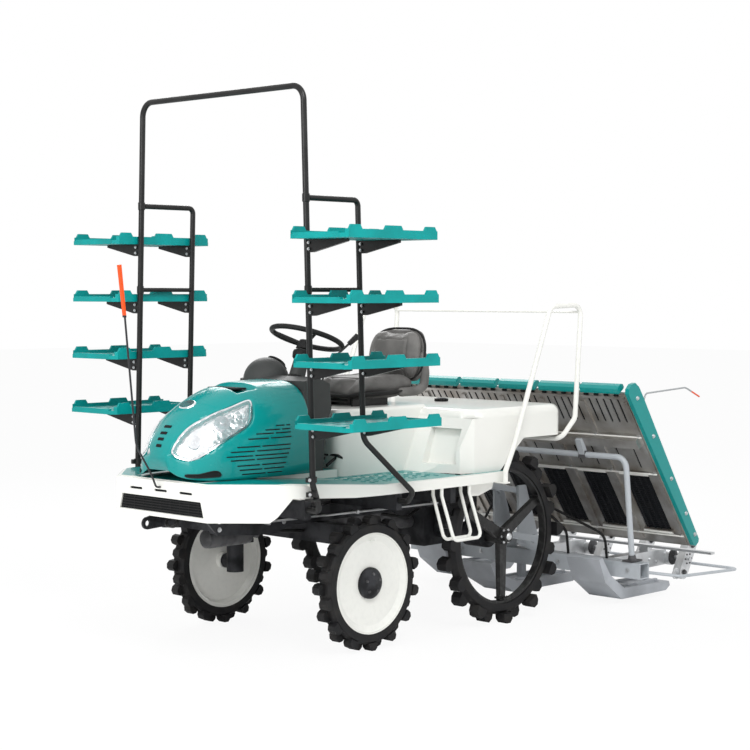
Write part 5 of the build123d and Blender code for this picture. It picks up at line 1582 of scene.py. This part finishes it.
def make_underbody(sizes):
    """Hoses, rods, a silencer and bolts between the frame rails."""
    hoses = bmesh.new()
    for route in CHASSIS_HOSES:
        add_hose(hoses, route, 0.12, 8, 0.009, 10)
    new_piece("hydraulic_hoses", hoses, "black plastic", "chassis")
    rods = bmesh.new()
    for side in (1, -1):
        x = side * 0.240
        add_rod(rods, (x, back(-380), 0.655), (x, back(860), 0.640), 0.006, segments=12)
        for d in (-380, 250, 860):
            ends = [(side * x, back(d), 0.648) for x in (0.212, 0.252)]
            add_rod(rods, *ends, 0.010, segments=16)
    new_piece("brake_rods", rods, "steel", "chassis")
    can = bmesh.new()
    x, y = -0.130, back(-330)
    add_lathe(can, SILENCER, (x, y, 0.540), (0, 1, 0), 36)
    add_rod(can, (x, back(-180), 0.540), (-0.165, back(-90), 0.520), 0.015, segments=20)
    add_rod(can, (x, y, 0.585), (x, y, 0.640), 0.012, segments=16)
    new_piece("silencer", can, "cast", "chassis")
    bolts = bmesh.new()
    for side in (1, -1):
        for d in (-680, -250, 600, 900):
            for z in (0.640, 0.680):
                add_bolt(bolts, (side * 0.215, back(d), z), (side, 0, 0), sizes.bolt)
    new_piece("frame_bolts", bolts, "steel", "chassis")


# Each lamp's name, place, power and size
LAMPS = (
    ("key", (4.5, -3.0, 6.0), 260.0, 3.0),
    ("front", (1.0, -6.5, 3.5), 150.0, 3.0),
    ("rim", (-4.5, 3.0, 5.0), 140.0, 3.0),
)
LAMP_AIM = Vector((0, 0, 0.9))
FLOOR_GLOW = 0.92
ROOM_LIGHT = 0.72


def blend_shaders(tree, factor, first, second, output):
    """Mixes two shaders by a factor into the tree's output."""
    pick = tree.nodes.new("ShaderNodeMixShader")
    for socket, source in zip(pick.inputs, (factor, first, second)):
        tree.links.new(source.outputs[0], socket)
    tree.links.new(pick.outputs[0], tree.nodes[output].inputs["Surface"])


def ray_math(tree, operation):
    """A Math node for the kinds of rays."""
    node = tree.nodes.new("ShaderNodeMath")
    node.operation = operation
    return node


def lay_floor(scene):
    """The pale floor, which glows for the camera only."""
    paint = bpy.data.materials.new("studio floor")
    paint.use_nodes = True
    tree = paint.node_tree
    shader = tree.nodes["Principled BSDF"]
    shader.inputs["Base Color"].default_value = (0.9, 0.9, 0.9, 1)
    shader.inputs["Roughness"].default_value = 0.9
    glow = tree.nodes.new("ShaderNodeEmission")
    glow.inputs["Strength"].default_value = 1.0
    path = tree.nodes.new("ShaderNodeLightPath")
    share = ray_math(tree, "MULTIPLY")
    share.inputs[1].default_value = FLOOR_GLOW
    tree.links.new(path.outputs["Is Camera Ray"], share.inputs[0])
    blend_shaders(tree, share, shader, glow, "Material Output")
    bm = bmesh.new()
    bmesh.ops.create_grid(bm, x_segments=1, y_segments=1, size=40.0)
    mesh = bpy.data.meshes.new("studio_floor")
    bm.to_mesh(mesh)
    bm.free()
    ground = bpy.data.objects.new("studio_floor", mesh)
    mesh.materials.append(paint)
    scene.collection.objects.link(ground)


def light_room(scene):
    """A white room that lights the object softly, and three lamps."""
    world = bpy.data.worlds.new("studio")
    scene.world = world
    world.use_nodes = True
    tree = world.node_tree
    light = tree.nodes["Background"]
    white = tree.nodes.new("ShaderNodeBackground")
    for node, strength in ((light, ROOM_LIGHT), (white, 1.0)):
        node.inputs["Color"].default_value = (1, 1, 1, 1)
        node.inputs["Strength"].default_value = strength
    path = tree.nodes.new("ShaderNodeLightPath")
    either = ray_math(tree, "MAXIMUM")
    third = ray_math(tree, "MAXIMUM")
    tree.links.new(path.outputs["Is Camera Ray"], either.inputs[0])
    tree.links.new(path.outputs["Is Glossy Ray"], either.inputs[1])
    tree.links.new(either.outputs[0], third.inputs[0])
    tree.links.new(path.outputs["Is Transmission Ray"], third.inputs[1])
    blend_shaders(tree, third, light, white, "World Output")
    for name, place, power, size in LAMPS:
        lamp = bpy.data.lights.new(name, "AREA")
        lamp.energy = power
        lamp.size = size
        obj = bpy.data.objects.new(name, lamp)
        obj.location = place
        obj.rotation_euler = (LAMP_AIM - Vector(place)).to_track_quat("-Z", "Y").to_euler()
        scene.collection.objects.link(obj)


CAMERA_PLACE = (6.7665, -6.3567, 1.8036)
CAMERA_AZIMUTH = 44.058
CAMERA_PITCH = -2.690
FOCAL_PIXELS = 1776.7
PHOTO_SIZE = 750.0
SENSOR = 36.0


def make_camera():
    """The camera at the photograph's place, with its distance measured from the front axle."""
    data = bpy.data.cameras.new("camera")
    data.sensor_width = SENSOR
    data.lens = FOCAL_PIXELS / PHOTO_SIZE * SENSOR
    obj = bpy.data.objects.new("camera", data)
    a = radians(CAMERA_AZIMUTH)
    p = radians(CAMERA_PITCH)
    forward = Vector((-sin(a) * cos(p), cos(a) * cos(p), sin(p)))
    right = Vector((cos(a), sin(a), 0))
    up = right.cross(forward)
    rotation = Matrix((right, up, -forward)).transposed().to_4x4()
    place = Vector(CAMERA_PLACE) + Vector((0, AXLE_Y, 0))
    obj.matrix_world = Matrix.Translation(place) @ rotation
    bpy.context.scene.collection.objects.link(obj)
    bpy.context.scene.camera = obj
    bpy.context.scene.view_settings.view_transform = "Standard"


class TRANSPLANTER_OT_finishes(bpy.types.Operator):
    """Makes the materials and gives every solid its finish"""

    bl_idname = "transplanter.finishes"
    bl_label = "Finishes"

    def execute(self, context):
        make_finishes(context.scene.transplanter_colours)
        dress_nodes()
        return {"FINISHED"}


class TRANSPLANTER_OT_hood(bpy.types.Operator):
    """Builds the hood's skin, lamps, louvres and intakes"""

    bl_idname = "transplanter.hood"
    bl_label = "Hood"

    def execute(self, context):
        make_hood(context.scene.transplanter_sizes)
        return {"FINISHED"}


class TRANSPLANTER_OT_seat(bpy.types.Operator):
    """Builds the seat's cushions and shells"""

    bl_idname = "transplanter.seat"
    bl_label = "Seat"

    def execute(self, context):
        make_seat()
        return {"FINISHED"}


class TRANSPLANTER_OT_wheels(bpy.types.Operator):
    """Builds hub caps, beads, bolts and pads on the wheels"""

    bl_idname = "transplanter.wheels"
    bl_label = "Wheels"

    def execute(self, context):
        make_wheels(context.scene.transplanter_sizes)
        return {"FINISHED"}


class TRANSPLANTER_OT_lanes(bpy.types.Operator):
    """Builds belts, rods and fittings on the seedling stage"""

    bl_idname = "transplanter.lanes"
    bl_label = "Seedling stage"

    def execute(self, context):
        make_lanes()
        make_stage_sides(context.scene.transplanter_sizes)
        return {"FINISHED"}


class TRANSPLANTER_OT_planter(bpy.types.Operator):
    """Builds fingers, covers, hoses and bolts on the planting unit"""

    bl_idname = "transplanter.planter"
    bl_label = "Planting unit"

    def execute(self, context):
        make_planter(context.scene.transplanter_sizes)
        return {"FINISHED"}


class TRANSPLANTER_OT_racks(bpy.types.Operator):
    """Builds slots and beads on the spare trays and clamps on the racks"""

    bl_idname = "transplanter.racks"
    bl_label = "Tray racks"

    def execute(self, context):
        make_trays(context.scene.transplanter_sizes)
        make_rack_fittings(context.scene.transplanter_sizes)
        return {"FINISHED"}


class TRANSPLANTER_OT_platform(bpy.types.Operator):
    """Builds the grille, floor studs and tow loop of the platform"""

    bl_idname = "transplanter.platform"
    bl_label = "Platform"

    def execute(self, context):
        make_platform()
        return {"FINISHED"}


class TRANSPLANTER_OT_controls(bpy.types.Operator):
    """Builds levers, dials, pedals and caps"""

    bl_idname = "transplanter.controls"
    bl_label = "Controls"

    def execute(self, context):
        make_controls()
        return {"FINISHED"}


class TRANSPLANTER_OT_underbody(bpy.types.Operator):
    """Builds hoses, rods and the silencer under the floor"""

    bl_idname = "transplanter.underbody"
    bl_label = "Underbody"

    def execute(self, context):
        make_underbody(context.scene.transplanter_sizes)
        return {"FINISHED"}


class TRANSPLANTER_OT_studio(bpy.types.Operator):
    """Lays the pale floor and places the lights and the camera"""

    bl_idname = "transplanter.studio"
    bl_label = "Studio"

    def execute(self, context):
        lay_floor(context.scene)
        light_room(context.scene)
        make_camera()
        return {"FINISHED"}


OPERATORS = (
    TRANSPLANTER_OT_finishes,
    TRANSPLANTER_OT_hood,
    TRANSPLANTER_OT_seat,
    TRANSPLANTER_OT_wheels,
    TRANSPLANTER_OT_lanes,
    TRANSPLANTER_OT_planter,
    TRANSPLANTER_OT_racks,
    TRANSPLANTER_OT_platform,
    TRANSPLANTER_OT_controls,
    TRANSPLANTER_OT_underbody,
    TRANSPLANTER_OT_studio,
)


class TRANSPLANTER_PT_panel(bpy.types.Panel):
    """Lists the transplanter's colours, sizes and build steps"""

    bl_idname = "TRANSPLANTER_PT_panel"
    bl_label = "Transplanter"
    bl_space_type = "VIEW_3D"
    bl_region_type = "UI"
    bl_category = "Transplanter"

    def draw(self, context):
        for group in (context.scene.transplanter_colours, context.scene.transplanter_sizes):
            for name in group.__annotations__:
                self.layout.prop(group, name)
        for operator in OPERATORS:
            self.layout.operator(operator.bl_idname)


CLASSES = (TransplanterColours, TransplanterSizes, *OPERATORS, TRANSPLANTER_PT_panel)


def register():
    for item in CLASSES:
        bpy.utils.register_class(item)
    bpy.types.Scene.transplanter_colours = bpy.props.PointerProperty(type=TransplanterColours)
    bpy.types.Scene.transplanter_sizes = bpy.props.PointerProperty(type=TransplanterSizes)


def unregister():
    del bpy.types.Scene.transplanter_colours
    del bpy.types.Scene.transplanter_sizes
    for item in reversed(CLASSES):
        bpy.utils.unregister_class(item)


def main():
    register()
    bpy.ops.transplanter.finishes()
    bpy.ops.transplanter.hood()
    bpy.ops.transplanter.seat()
    bpy.ops.transplanter.wheels()
    bpy.ops.transplanter.lanes()
    bpy.ops.transplanter.planter()
    bpy.ops.transplanter.racks()
    bpy.ops.transplanter.platform()
    bpy.ops.transplanter.controls()
    bpy.ops.transplanter.underbody()
    bpy.ops.transplanter.studio()


if __name__ == "__main__":
    main()
